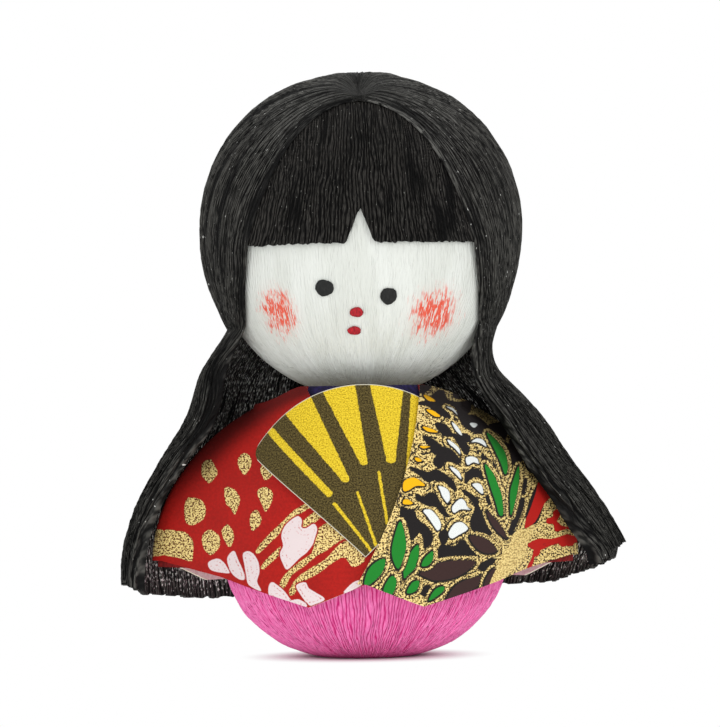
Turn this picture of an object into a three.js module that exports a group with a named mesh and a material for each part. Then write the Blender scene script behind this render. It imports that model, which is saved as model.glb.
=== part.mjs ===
// Roly-poly paper doll: a court lady with long crepe hair, a washi robe with
// two folded sleeves, a fan, and a round weighted base that rights itself.
// Millimetres, +Z up. The face looks along -Y, the origin is under the foot.
// Left and right are those of somebody who looks at the face.

import * as THREE from 'three';
import { mergeVertices } from 'three/addons/utils/BufferGeometryUtils.js';

// Clearance between one layer and the next, and the sheet thicknesses
const gap = 0.3;
const washi = 0.35;
const crepe = 0.4;
const hairCrepe = 0.7;
const fringeCrepe = 0.4;
const pulpWall = 1.3;

// Round base: a superellipse in section, flattened underneath
const baseRadius = 17.7;
const baseHeight = 15;
const baseRoundness = 2.3;
const footDepth = 0.5;
const skirtAbove = 5;
const spigotDepth = 2;
const gathers = 20;
const gatherDepth = 0.3;
const weightTop = 8.5;

// Head: a ball on a peg, wrapped in white crepe that is gathered at the crown
const headRadius = 18;
const headSeat = 31.6;
const crownGather = 1.3;
const pegRadius = 1.25;
const pegChamfer = 0.3;
const pegInHead = 12.4;
const pegInBody = 7;
const bossWall = 1.4;

// Robe: a cone from the belt up to the neck, with a hem that hangs almost straight
const beltEase = 0.9;
const beltBlend = 2;
const robeSlope = 0.394;
const hemFlare = 0.08;
const robeWaist = 20;
const neckRise = 1.5;
const shoulderDrop = 2.2;
const neckOpening = 6.9;
const shoulderEdge = 12;
const underRobeLow = 25;

// Sleeves: wings that stand out from the body and end in a round fold
const wingSpan = 24.6;
const wingLow = 12;
const wingRoundness = 1.9;
const wingFold = 0.5;
const wingTipY = 1;
const hemCorner = 7.5;
const hemCornerZ = 6.9;
const hemInnerZ = 9.6;
const hemKnee = 17;
const hemKneeZ = 10.3;
const backHemZ = 9.2;
const hemFold = 0.8;
const leftPanelFoot = -4;
const rightPanelFoot = -1.1;
const rightPanelBulge = 1.6;

// Fan: a flat card sector, bent round the robe
const fanRadius = 22;
const fanHalfAngle = 44;
const fanPivotZ = 12.8;
const fanCorner = 1.7;

// Hair on the head: how far it stands off the ball, and where its lines meet
const hairLoft = 1.1;
const hairFullness = 2.75;
const hairFall = 2.3;
const fringeFullness = 1.5;
const crownPitch = 61;
const neckPitch = -30;
const fringePitch = 1.5;
const fringeReach = 54;
const notchPitch = 15.3;
const notchHalf = 5;

// Hair curtain: how far its tips stand out past the wings, and how it spreads on
// the way down, as [share of the fall, share of the spread]
const tipSpreadLeft = 4.8;
const tipSpreadRight = 6.7;
const backSpread = 3.4;
const frontDepth = 6;
const hairLowest = 7;
const spreadLeft = [
  [0, 0], [0.055, 0.085], [0.145, 0.24], [0.32, 0.41], [0.5, 0.68], [0.675, 0.89], [0.88, 1],
];
const spreadRight = [
  [0, 0], [0.07, -0.04], [0.16, 0], [0.25, 0.19], [0.34, 0.37],
  [0.52, 0.635], [0.7, 0.885], [0.82, 1], [1, 0.91],
];
const spreadBack = [[0, 0], [0.18, -0.03], [0.36, 0.06], [0.6, 0.41], [0.85, 0.82], [1, 1]];
const spreadFront = [[0, 0], [0.18, 0.43], [0.36, 0.81], [0.6, 0.95], [1, 1]];
// How far round the front edges come, in degrees from the back
const neckTurn = 118;
const lockEndLeft = [
  [0, neckTurn], [0.09, 118], [0.22, 122], [0.38, 122],
  [0.49, 117.5], [0.62, 113.5], [0.73, 111.5], [1, 110],
];
const lockEndRight = [
  [0, neckTurn], [0.1, 120], [0.22, 128], [0.36, 130], [0.52, 128.5],
  [0.64, 126], [0.76, 124], [0.88, 118], [1, 117],
];
// Height of the cut end, from the left front edge (-1) round the back to the right (1)
const hairHem = [
  [-1, 8.6], [-0.93, 9.3], [-0.86, 9.9], [-0.78, 9], [-0.7, 8.1], [-0.6, 7.5], [-0.5, hairLowest],
  [0, hairLowest], [0.3, 7.8], [0.37, 8], [0.455, 8.7], [0.52, 9.9], [0.6, 11.3], [0.7, 13],
  [0.78, 13.9], [0.86, 13.2], [0.93, 11.9], [1, 10.9],
];
const lockThickness = 0.8;
const flutes = 5;
const fluteDepth = 0.6;

// Paper dots of the face: place across, place below the head centre, width, height
const dotThickness = 0.25;
const dotGap = 0.12;
const faceDots = {
  eye_left: { x: -4.47, below: 4.55, width: 2.25, height: 2, color: 0x282828 },
  eye_right: { x: 3.17, below: 5.64, width: 2, height: 2.05, color: 0x282828 },
  nose_dot: { x: -0.64, below: 7.54, width: 1.6, height: 1.25, color: 0xab2a30 },
  mouth_dot: { x: -0.94, below: 9.8, width: 1.6, height: 1.15, color: 0xab2a30 },
};

// Heights and radii that follow from the sizes above
const headHeight = headSeat + headRadius;
const pegTop = headSeat + pegInHead;
const beltRadius = baseRadius + beltEase;
const robeTop = headSeat + neckRise;
const wingRise = robeTop + 0.4 - wingLow;
const hairRadius = headRadius + hairLoft;
const layer = gap + washi;
const degrees = Math.PI / 180;

// Straight-line reading of a list of [position, value] in rising order
function valueAt(points, position) {
  const next = points.findIndex(([at]) => at >= position);
  if (next === 0) return points[0][1];
  if (next < 0) return points[points.length - 1][1];
  const [from, low] = points[next - 1];
  const [to, high] = points[next];
  return THREE.MathUtils.mapLinear(position, from, to, low, high);
}

function steps(from, to, count) {
  return Array.from({ length: count + 1 }, (_, i) => from + (to - from) * i / count);
}

function superArc(fraction, power) {
  return (1 - Math.min(1, Math.abs(fraction)) ** power) ** (1 / power);
}

// Merges equal corners, drops the triangles that closed up, and turns the faces out
function closedGeometry(positions, triangles) {
  const raw = new THREE.BufferGeometry();
  raw.setAttribute('position', new THREE.Float32BufferAttribute(positions, 3));
  raw.setIndex(triangles);
  const merged = mergeVertices(raw, 1e-4);
  const index = Array.from(merged.index.array);
  const corner = (i) => new THREE.Vector3().fromBufferAttribute(merged.attributes.position, i);
  const kept = [];
  let volume = 0;
  for (let i = 0; i < index.length; i += 3) {
    const [a, b, c] = index.slice(i, i + 3);
    if (a === b || b === c || c === a) continue;
    kept.push([a, b, c]);
    volume += corner(a).dot(corner(b).cross(corner(c)));
  }
  merged.setIndex(kept.map((face) => (volume < 0 ? [...face].reverse() : face)).flat());
  merged.computeVertexNormals();
  return merged;
}

// A thin sheet as one closed solid. pointAt(u, v, face) gives the inner face for
// face 0 and the outer one for face 1; wrapped joins the last column to the first.
function sheetGeometry(us, vs, pointAt, wrapped = false) {
  const positions = [];
  const triangles = [];
  const columns = us.length;
  const rows = vs.length;
  for (const face of [0, 1]) {
    for (const v of vs) {
      for (const u of us) positions.push(...pointAt(u, v, face));
    }
  }
  const at = (face, row, column) => (face * rows + row) * columns + (column % columns);
  const quad = (a, b, c, d) => triangles.push(a, b, c, a, c, d);
  const lastColumn = wrapped ? columns : columns - 1;
  for (let row = 0; row < rows - 1; row += 1) {
    for (let column = 0; column < lastColumn; column += 1) {
      quad(at(1, row, column), at(1, row, column + 1), at(1, row + 1, column + 1), at(1, row + 1, column));
      quad(at(0, row, column), at(0, row + 1, column), at(0, row + 1, column + 1), at(0, row, column + 1));
    }
    if (!wrapped) {
      quad(at(0, row, 0), at(1, row, 0), at(1, row + 1, 0), at(0, row + 1, 0));
      const end = lastColumn;
      quad(at(0, row, end), at(0, row + 1, end), at(1, row + 1, end), at(1, row, end));
    }
  }
  for (let column = 0; column < lastColumn; column += 1) {
    quad(at(0, 0, column), at(0, 0, column + 1), at(1, 0, column + 1), at(1, 0, column));
    const top = rows - 1;
    quad(at(0, top, column), at(1, top, column), at(1, top, column + 1), at(0, top, column + 1));
  }
  return closedGeometry(positions, triangles);
}

// A turned piece; the profile is [radius, height] pairs
function turnedGeometry(profile, segments) {
  const lathe = new THREE.LatheGeometry(profile.map(([r, z]) => new THREE.Vector2(r, z)), segments);
  lathe.rotateX(Math.PI / 2);
  return closedGeometry(Array.from(lathe.attributes.position.array), Array.from(lathe.index.array));
}

function piece(name, geometry, color, roughness, metalness = 0) {
  const mesh = new THREE.Mesh(geometry, new THREE.MeshStandardMaterial({ color, roughness, metalness }));
  mesh.name = name;
  return mesh;
}

// Base

function baseSection(inset, count) {
  const foot = Math.acos((baseHeight / (baseHeight + footDepth)) ** (baseRoundness / 2));
  return steps(foot, Math.PI / 2, count).map((angle) => [
    (baseRadius - inset) * Math.sin(angle) ** (2 / baseRoundness),
    baseHeight - (baseHeight + footDepth - inset) * Math.max(0, Math.cos(angle)) ** (2 / baseRoundness),
  ]);
}

function atFloor(section, floor) {
  return section.map(([r, z]) => [r, Math.max(z, floor)]);
}

function robeRadius(z) {
  const above = z - baseHeight;
  const cone = (above + Math.hypot(above, beltBlend)) / 2;
  return beltRadius - robeSlope * cone + hemFlare * (cone - above);
}

// Outside of the crepe skirt above the bowl, where it goes up under the robe
function waistRadius(z) {
  return Math.min(baseRadius, robeRadius(z) - gap);
}

function skirtWrap() {
  const upper = [1, 3, skirtAbove].map((above) => baseHeight + above);
  const section = (face) => {
    const inset = face ? 0 : crepe;
    const bowl = atFloor(baseSection(inset, 6), inset);
    return [[0, inset], ...bowl, ...upper.map((z) => [waistRadius(z) - inset, z])];
  };
  const sections = [section(0), section(1)];
  const pointAt = (angle, row, face) => {
    const [r, z] = sections[face][row];
    const strength = THREE.MathUtils.smoothstep(z, 0.8, 4) * (1 - THREE.MathUtils.smoothstep(z, 12, 16));
    const radius = r + gatherDepth * strength * (0.5 + 0.5 * Math.cos(gathers * angle));
    return [radius * Math.cos(angle), radius * Math.sin(angle), z];
  };
  const angles = steps(0, 2 * Math.PI, gathers * 4).slice(0, -1);
  return sheetGeometry(angles, sections[0].map((_, row) => row), pointAt, true);
}

function baseBowl() {
  const outer = crepe + gap;
  const inner = outer + pulpWall;
  const profile = [
    [0, outer],
    ...atFloor(baseSection(outer, 8), outer),
    ...atFloor(baseSection(inner, 8), inner).reverse(),
    [0, inner],
  ];
  return turnedGeometry(profile, 40);
}

// The slug lies in the bowl and follows its inside
function baseWeight() {
  const inset = crepe + gap + pulpWall + gap;
  const side = atFloor(baseSection(inset, 12), inset).filter(([, z]) => z < weightTop - 0.5);
  const [topRadius] = side[side.length - 1];
  const edge = [[topRadius, weightTop - 0.4], [topRadius - 0.6, weightTop]];
  return turnedGeometry([[0, inset], ...side, ...edge, [0, weightTop]], 36);
}

// Upper shell of the body: a spigot in the bowl, a cone and a socket for the peg
function bodyDome() {
  const outset = crepe + gap;
  const top = headSeat - gap;
  const rim = baseHeight + gap;
  const hole = pegRadius + gap;
  const spigot = baseRadius - outset - pulpWall - gap;
  const side = steps(rim, top - 1, 6).map((z) => [waistRadius(z) - outset, z]);
  const inside = steps(top - pulpWall, rim + pulpWall, 4).map((z) => [waistRadius(z) - outset - pulpWall, z]);
  const profile = [
    [hole, top - pegInBody],
    [hole, top],
    [waistRadius(top) - outset - 1, top],
    ...side.reverse(),
    [spigot, rim],
    [spigot, rim - spigotDepth],
    [spigot - pulpWall, rim - spigotDepth],
    [spigot - pulpWall, rim],
    ...inside.reverse(),
    [hole + bossWall, top - pulpWall],
    [hole + bossWall, top - pegInBody],
    [hole, top - pegInBody],
  ];
  return turnedGeometry(profile, 36);
}

function neckPeg() {
  const bottom = headSeat - gap - pegInBody;
  const tip = pegRadius - pegChamfer;
  const profile = [
    [0, bottom],
    [tip, bottom],
    [pegRadius, bottom + pegChamfer],
    [pegRadius, pegTop - pegChamfer],
    [tip, pegTop],
    [0, pegTop],
  ];
  return turnedGeometry(profile, 16);
}

// Head

function ballArc(radius, from, to, count) {
  return steps(from, to, count).map((pitch) => [
    radius * Math.cos(pitch * degrees),
    headHeight + radius * Math.sin(pitch * degrees),
  ]);
}

function headBall() {
  const radius = headRadius - crepe - gap;
  const hole = pegRadius + gap;
  const holePitch = -Math.acos(hole / radius) / degrees;
  const ball = ballArc(radius, holePitch, 90, 12);
  const bore = [[0, pegTop + gap], [hole, pegTop + gap]];
  return turnedGeometry([...bore, ...ball.slice(0, -1), [0, headHeight + radius]], 28);
}

function faceWrap() {
  const opening = pegRadius + 2 * gap;
  const inside = headRadius - crepe;
  const pitchOf = (radius) => -Math.acos(opening / radius) / degrees;
  const outer = steps(pitchOf(headRadius), 90, 15).map((pitch) => {
    const radius = headRadius + crownGather * THREE.MathUtils.smoothstep(pitch, 62, 90);
    return [radius * Math.cos(pitch * degrees), headHeight + radius * Math.sin(pitch * degrees)];
  });
  const inner = ballArc(inside, 90, pitchOf(inside), 12);
  const crown = outer[outer.length - 1][1];
  const profile = [[0, inner[0][1]], ...inner.slice(1), ...outer.slice(0, -1), [0, crown]];
  return turnedGeometry(profile, 40);
}

// A hand-cut dot of paper that follows the ball
function faceDot({ x, below, width, height }) {
  const toFront = Math.sqrt(headRadius ** 2 - x ** 2 - below ** 2);
  const middle = new THREE.Vector3(x, -toFront, -below).normalize();
  const right = new THREE.Vector3(-middle.y, middle.x, 0).normalize();
  const above = new THREE.Vector3().crossVectors(right, middle);
  const pointAt = (angle, reach, face) => {
    const cut = reach * (1 + 0.05 * Math.sin(3 * angle + x) + 0.03 * Math.sin(5 * angle + below));
    const line = middle.clone().multiplyScalar(headRadius);
    line.addScaledVector(right, 0.5 * width * cut * Math.cos(angle));
    line.addScaledVector(above, 0.5 * height * cut * Math.sin(angle));
    line.setLength(headRadius + dotGap + face * dotThickness);
    return [line.x, line.y, line.z + headHeight];
  };
  return sheetGeometry(steps(0, 2 * Math.PI, 18).slice(0, -1), [0, 1], pointAt, true);
}

// Hair

// Unit direction from the head centre: turn is measured from the back, in degrees
function direction(turn, pitch) {
  const flat = Math.cos(pitch * degrees);
  return new THREE.Vector3(
    flat * Math.sin(turn * degrees),
    flat * Math.cos(turn * degrees),
    Math.sin(pitch * degrees),
  );
}

const crownPoint = direction(180, crownPitch);

// A cubic curve on the unit ball through four control directions
function bentLine(corners, along) {
  const rest = 1 - along;
  const weights = [rest ** 3, 3 * rest ** 2 * along, 3 * rest * along ** 2, along ** 3];
  const sum = new THREE.Vector3();
  corners.forEach((corner, i) => sum.addScaledVector(corner, weights[i]));
  return sum.normalize();
}

function fringe() {
  const columns = [...steps(-fringeReach, -notchHalf, 12), 0, ...steps(notchHalf, fringeReach, 12)];
  const rows = steps(0, 1, 8);
  const pointAt = (turn, along, face) => {
    const edge = turn === 0 ? notchPitch : fringePitch;
    const arc = bentLine([
      direction(180 - turn, edge),
      direction(180 - turn, 25),
      direction(180 - 0.85 * turn, 55),
      crownPoint,
    ], along);
    const pitch = Math.asin(arc.z) / degrees;
    const bulk = fringeFullness * THREE.MathUtils.smoothstep(pitch, 12, crownPitch);
    arc.setLength(headRadius + gap + bulk + face * fringeCrepe);
    return [arc.x, arc.y, arc.z + headHeight];
  };
  return sheetGeometry(columns, rows, pointAt);
}

// One line of the hair on the head: a curve from the crown to the neck
function hairOnHead(side, along) {
  const middle = 1 - side ** 2;
  return bentLine([
    crownPoint,
    direction(144 * side, 52 + 36 * middle),
    direction(136 * side, -12 + 52 * middle),
    direction(neckTurn * side, neckPitch),
  ], along);
}

// How far the hair stands from the head centre; at the back it falls straight
function hairReach(line) {
  const pitch = Math.asin(THREE.MathUtils.clamp(line.z, -1, 1)) / degrees;
  const full = hairFullness * THREE.MathUtils.smoothstep(pitch, -24, 62);
  const turnedBack = Math.max(0, line.y) / Math.cos(pitch * degrees);
  const fall = hairFall * turnedBack ** 2 * THREE.MathUtils.smoothstep(-pitch, 0, -neckPitch);
  return hairRadius + full + fall;
}

// The curtain below the neck: a horseshoe in plan that lies over the robe and its
// wings, fluted towards its cut end, with thick rolled front edges
function hairCurtain(side, z, face) {
  const flat = Math.cos(neckPitch * degrees);
  const fall = (neckHairZ() - z) / (neckHairZ() - hairLowest);
  const [tipSpread, spread, lockEnd] = side < 0
    ? [tipSpreadLeft, spreadLeft, lockEndLeft]
    : [tipSpreadRight, spreadRight, lockEndRight];
  const overRobe = layer + washi + gap + hairCrepe;
  const ring = hairRadius * flat;
  const half = Math.max(
    THREE.MathUtils.lerp(ring, wingSpan + tipSpread, valueAt(spread, fall)),
    robeHalfWidth(z, overRobe),
  );
  const back = Math.max(
    THREE.MathUtils.lerp((hairRadius + hairFall) * flat, beltRadius + backSpread, valueAt(spreadBack, fall)),
    robeRadius(z) + overRobe,
  );
  const front = THREE.MathUtils.lerp(ring, frontDepth, valueAt(spreadFront, fall));
  const turn = side * valueAt(lockEnd, fall) * degrees;
  const loose = THREE.MathUtils.smoothstep(fall, 0.12, 0.9) * (1 - side ** 6);
  const flute = fluteDepth * loose * Math.cos(2 * Math.PI * flutes * side);
  const nearEdge = THREE.MathUtils.smoothstep(Math.abs(side), 0.8, 0.93);
  const rolled = nearEdge * THREE.MathUtils.smoothstep(fall, -0.05, 0.12);
  const out = flute + (face ? lockThickness * rolled : -hairCrepe);
  const depth = Math.cos(turn) > 0 ? back : front;
  return [(half + out) * Math.sin(turn), (depth + out) * Math.cos(turn), z];
}

function neckHairZ() {
  return headHeight + hairRadius * Math.sin(neckPitch * degrees);
}

function hairMantle() {
  const headRows = [0, 0.1, 0.22, 0.36, 0.5, 0.64, 0.76, 0.88, 1];
  const curtainRows = steps(1, 2, 10).slice(1);
  const pointAt = (side, row, face) => {
    if (row > 1) {
      const z = THREE.MathUtils.lerp(neckHairZ(), valueAt(hairHem, side), row - 1);
      return hairCurtain(side, z, face);
    }
    const line = hairOnHead(side, row);
    line.setLength(hairReach(line) - (1 - face) * hairCrepe);
    return [line.x, line.y, line.z + headHeight];
  };
  return sheetGeometry(steps(-1, 1, 32), [...headRows, ...curtainRows], pointAt);
}

// Robe

function wingReach(z) {
  return wingSpan * superArc(Math.max(0, (z - wingLow) / wingRise), wingRoundness);
}

// Widest point of the robe at one height
function robeHalfWidth(z, offset) {
  return Math.max(robeRadius(z) + offset, wingReach(z) + wingFold + offset);
}

// In plan the robe is the body circle drawn out to two round wing tips.
// Gives how far its front (facing -1) or back (facing 1) lies from the middle plane.
function robeDepth(x, z, offset, facing) {
  const body = robeRadius(z) + offset;
  const tip = wingFold + offset;
  const reach = wingReach(z);
  const tipDepth = facing * wingTipY;
  const distance = Math.hypot(reach, tipDepth);
  const across = Math.abs(x);
  const circle = (radius, from) => Math.sqrt(Math.max(0, radius ** 2 - from ** 2));
  if (distance <= body - tip) return facing * circle(body, across);
  const tangent = Math.atan2(tipDepth, reach) + Math.acos((body - tip) / distance);
  const normalX = Math.cos(tangent);
  if (across <= body * normalX) return facing * circle(body, across);
  if (across <= reach + tip * normalX) return facing * (body - normalX * across) / Math.sin(tangent);
  return facing * (tipDepth + circle(tip, across - reach));
}

// The neck edge is highest in front and lies lower on the shoulders and behind
function neckHeight(across) {
  return robeTop - shoulderDrop * THREE.MathUtils.smoothstep(across, neckOpening, shoulderEdge);
}

function underRobe() {
  const pointAt = (angle, v, face) => {
    const across = Math.sin(angle) < 0 ? Math.abs(shoulderEdge * Math.cos(angle)) : shoulderEdge;
    const z = THREE.MathUtils.lerp(underRobeLow, neckHeight(across), v);
    const radius = robeRadius(z) - gap - (1 - face) * washi;
    return [radius * Math.cos(angle), radius * Math.sin(angle), z];
  };
  return sheetGeometry(steps(0, 2 * Math.PI, 48).slice(0, -1), steps(0, 1, 2), pointAt, true);
}

// Rows of the robe from its hem (0) to the waist (1) and on to the neck (2)
const robeRows = [...steps(0, 1, 3), ...steps(1, 2, 8).slice(1)];

function robeHeight(hem, neck, row) {
  if (row <= 1) return THREE.MathUtils.lerp(hem, robeWaist, row);
  return THREE.MathUtils.lerp(robeWaist, neck, row - 1);
}

// The red wrap under both sleeves, open at the neck in front
function kimonoBody() {
  const half = [...steps(0, 60, 5), 70, 78, 84, 90, 96, 102, 112, 122, 134, 145];
  const turns = [...half.slice(1).map((turn) => -turn).reverse(), ...half];
  const pointAt = (turn, row, face) => {
    const behind = Math.abs(turn) < 90;
    const share = Math.sin(turn * degrees);
    const neck = neckHeight(behind ? Infinity : robeHalfWidth(robeTop, 0) * Math.abs(share));
    const z = robeHeight(wingLow - hemFold, neck, row);
    const x = robeHalfWidth(z, face * washi) * share;
    return [x, robeDepth(x, z, face * washi, behind ? 1 : -1), z];
  };
  return sheetGeometry(turns, robeRows, pointAt);
}

function frontHem(across) {
  return valueAt([
    [-12, hemInnerZ + 1], [0, hemInnerZ], [hemCorner, hemCornerZ],
    [hemKnee, hemKneeZ], [wingSpan, wingLow],
  ], across);
}

// A sleeve with the front panel in one: the sheet comes from the front edge, goes
// round the wing tip and back under the hair.
// offsetAt gives how far it stands off the body at one place across.
function sleeve(side, { edgeFoot, edgeTop, edgeBulge, offsetAt }) {
  const edgeAt = (z) => {
    const v = (z - hemInnerZ) / (robeTop - hemInnerZ);
    return THREE.MathUtils.lerp(edgeFoot, edgeTop, v) + edgeBulge * 4 * v * (1 - v);
  };
  const widthAtHem = robeHalfWidth(hemInnerZ, layer);
  const neckHalf = robeHalfWidth(robeTop, 0);
  const backHem = [[0.8 * wingSpan, backHemZ], [wingSpan, wingLow]];
  const cornerAt = Math.asin((hemCorner - edgeFoot) / (widthAtHem - edgeFoot)) / (Math.PI / 2);
  const frontColumns = [...steps(0, cornerAt, 4), ...steps(cornerAt, 0.8, 5).slice(1), 0.87, 0.94, 1];
  const backColumns = [1.06, 1.13, 1.2, 1.3, 1.45, 1.6];
  const pointAt = (column, row, face) => {
    const front = column <= 1;
    const share = Math.sin(Math.PI / 2 * column);
    const foot = front ? THREE.MathUtils.lerp(edgeFoot, widthAtHem, share) : widthAtHem * share;
    const hem = front ? frontHem(foot) : valueAt(backHem, foot);
    const neck = neckHeight(front ? THREE.MathUtils.lerp(edgeTop, neckHalf, share) : Infinity);
    const z = robeHeight(hem, neck, row);
    const near = offsetAt(front ? foot : wingSpan) + face * washi;
    const width = robeHalfWidth(z, near);
    const across = front ? THREE.MathUtils.lerp(edgeAt(z), width, share) : width * share;
    return [side * across, robeDepth(across, z, near, front ? -1 : 1), z];
  };
  return sheetGeometry([...frontColumns, ...backColumns], robeRows, pointAt);
}

function leftSleeve() {
  return sleeve(-1, {
    edgeFoot: leftPanelFoot,
    edgeTop: neckOpening,
    edgeBulge: 0,
    offsetAt: () => layer,
  });
}

// The right panel closes over the left one and over the fan, and comes down on to the
// robe past the fan's corner
function rightSleeve() {
  const fanSide = fanRadius * Math.sin(fanHalfAngle * degrees);
  const over = (across) => 1 - THREE.MathUtils.smoothstep(across, fanSide - 0.7, fanSide + 5.3);
  return sleeve(1, {
    edgeFoot: rightPanelFoot,
    edgeTop: neckOpening + 0.5,
    edgeBulge: rightPanelBulge,
    offsetAt: (across) => layer * (1 + 2 * over(across)),
  });
}

// A flat sector rolled on to the cone of the robe
function fan() {
  const offset = 2 * layer;
  const apex = baseHeight + (beltRadius + offset) / robeSlope;
  const half = Math.atan(robeSlope);
  const pivotDistance = (apex - fanPivotZ) / Math.cos(half);
  const pointAt = (angle, share, face) => {
    const fromEdge = (fanHalfAngle - Math.abs(angle)) * degrees * fanRadius;
    const cut = Math.max(0, fanCorner - fromEdge);
    const reach = share * (fanRadius - fanCorner + Math.sqrt(fanCorner ** 2 - cut ** 2));
    const along = pivotDistance - reach * Math.cos(angle * degrees);
    const lateral = reach * Math.sin(angle * degrees);
    const z = apex - Math.hypot(along, lateral) * Math.cos(half);
    const turn = Math.atan2(lateral, along) / Math.sin(half);
    const near = offset + face * washi;
    const x = (robeRadius(z) + near) * Math.sin(turn);
    return [x, robeDepth(x, z, near, -1), z];
  };
  const inner = fanHalfAngle - fanCorner / fanRadius / degrees;
  const corner = fanHalfAngle - 1;
  const angles = [-fanHalfAngle, -corner, ...steps(-inner, inner, 14), corner, fanHalfAngle];
  return sheetGeometry(angles, [0, 0.25, 0.45, 0.65, 0.85, 1], pointAt);
}

const doll = new THREE.Group();
doll.add(
  piece('weight', baseWeight(), 0x55575a, 0.6, 0.9),
  piece('base_bowl', baseBowl(), 0xb9a98c, 0.95),
  piece('body_dome', bodyDome(), 0xb9a98c, 0.95),
  piece('neck_peg', neckPeg(), 0xd2b27c, 0.7),
  piece('head_ball', headBall(), 0xf3f3f0, 0.85),
  piece('face_wrap', faceWrap(), 0xe8ece8, 0.9),
  piece('hair_fringe', fringe(), 0x262626, 0.85),
  piece('hair_mantle', hairMantle(), 0x262626, 0.85),
  piece('skirt_wrap', skirtWrap(), 0xe45aa5, 0.9),
  piece('under_robe', underRobe(), 0x1e193c, 0.85),
  piece('kimono_body', kimonoBody(), 0x8e1618, 0.85),
  piece('sleeve_left', leftSleeve(), 0xb01c18, 0.8),
  piece('sleeve_right', rightSleeve(), 0x1c1a1a, 0.8),
  piece('fan', fan(), 0xe1c83c, 0.75),
);
for (const [name, dot] of Object.entries(faceDots)) {
  doll.add(piece(name, faceDot(dot), dot.color, 0.85));
}

export default doll;
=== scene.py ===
import math

import bmesh
import bpy
import numpy as np
from mathutils import Matrix, Vector


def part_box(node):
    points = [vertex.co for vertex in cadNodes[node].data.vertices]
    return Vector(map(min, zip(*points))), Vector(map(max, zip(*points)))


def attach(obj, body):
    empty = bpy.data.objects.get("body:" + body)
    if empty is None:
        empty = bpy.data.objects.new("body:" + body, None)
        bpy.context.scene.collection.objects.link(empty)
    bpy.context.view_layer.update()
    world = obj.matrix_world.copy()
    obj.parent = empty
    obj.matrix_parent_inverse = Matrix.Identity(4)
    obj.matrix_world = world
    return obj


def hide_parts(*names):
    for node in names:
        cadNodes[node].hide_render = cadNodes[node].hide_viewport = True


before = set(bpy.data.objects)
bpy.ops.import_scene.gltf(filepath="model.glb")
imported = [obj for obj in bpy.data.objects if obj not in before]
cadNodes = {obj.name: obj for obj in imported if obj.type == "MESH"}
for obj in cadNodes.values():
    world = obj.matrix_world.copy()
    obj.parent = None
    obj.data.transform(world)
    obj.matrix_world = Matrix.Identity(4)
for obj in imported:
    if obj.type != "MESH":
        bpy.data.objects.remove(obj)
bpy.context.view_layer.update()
mm = 0.001

# The doll's own sizes, in mm; left and right are those of somebody who looks at the face
faceLow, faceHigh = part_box("face_wrap")
paper = {"gap": 0.3, "washi": 0.35, "crepe": 0.4, "hairCrepe": 0.7, "fringeCrepe": 0.4}
layer = paper["gap"] + paper["washi"]
head = {"radius": (faceHigh.x - faceLow.x) / 2 / mm, "crownGather": 1.3, "opening": 1.85}
head["height"] = faceHigh.z / mm - head["crownGather"] - head["radius"]
base = {"radius": 17.7, "height": 15, "roundness": 2.3, "footDepth": 0.5, "skirtAbove": 5}
robe = {
    "belt": 18.6, "slope": 0.394, "blend": 2, "flare": 0.08, "waist": 20, "low": 25,
    "top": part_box("under_robe")[1].z / mm, "shoulderDrop": 2.2, "neck": 6.9, "shoulder": 12,
}
wing = {"span": 24.6, "low": 12, "roundness": 1.9, "fold": 0.5, "tipY": 1, "over": 0.4}
wing["rise"] = robe["top"] + wing["over"] - wing["low"]


# Small helpers for numbers and arrays

def lerp(a, b, t):
    return a + (b - a) * t


def smooth(x, low, high):
    t = np.clip((np.asarray(x, float) - low) / (high - low), 0, 1)
    return t * t * (3 - 2 * t)


def curveAt(points, x):  # a smooth line through [position, value] points
    xs, ys = np.array(points, float).T
    slopes = np.gradient(ys, xs)
    i = np.clip(np.searchsorted(xs, x) - 1, 0, len(xs) - 2)
    h = xs[i + 1] - xs[i]
    t = np.clip((x - xs[i]) / h, 0, 1)
    early, late = (1 + 2 * t) * (1 - t) ** 2, t * t * (3 - 2 * t)
    bend = h * t * (1 - t) * ((1 - t) * slopes[i] - t * slopes[i + 1])
    return ys[i] * early + ys[i + 1] * late + bend


def linesAt(points, x):  # straight lines through [position, value] points
    xs, ys = np.array(points, float).T
    return np.interp(x, xs, ys)


def runs(spans):  # even steps from start to end in each span, and no point twice
    steps = [np.linspace(start, end, count) for start, end, count in spans]
    return np.concatenate([steps[0], *[step[1:] for step in steps[1:]]])


def wobble(x, pitch, seed):  # smooth random line, -1 to 1
    values = np.random.RandomState(seed).uniform(-1, 1, 4096)
    at = np.asarray(x, float) / pitch + 1000
    i = np.floor(at).astype(int)
    t = at - i
    t = t * t * (3 - 2 * t)
    return lerp(values[i % 4096], values[(i + 1) % 4096], t)


def ragged(x, waves):  # the sum of such lines, each with its depth, pitch and seed
    return sum(depth * wobble(x, pitch, seed) for depth, pitch, seed in waves)


def blotch(x, z, pitch, seed):  # smooth random field, 0 to 1
    values = np.random.RandomState(seed).uniform(0, 1, (64, 64))
    u, v = x / pitch + 640, z / pitch + 640
    i, j = np.floor(u).astype(int), np.floor(v).astype(int)
    s, t = u - i, v - j
    s, t = s * s * (3 - 2 * s), t * t * (3 - 2 * t)
    low = lerp(values[i % 64, j % 64], values[(i + 1) % 64, j % 64], s)
    high = lerp(values[i % 64, (j + 1) % 64], values[(i + 1) % 64, (j + 1) % 64], s)
    return lerp(low, high, t)


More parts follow.
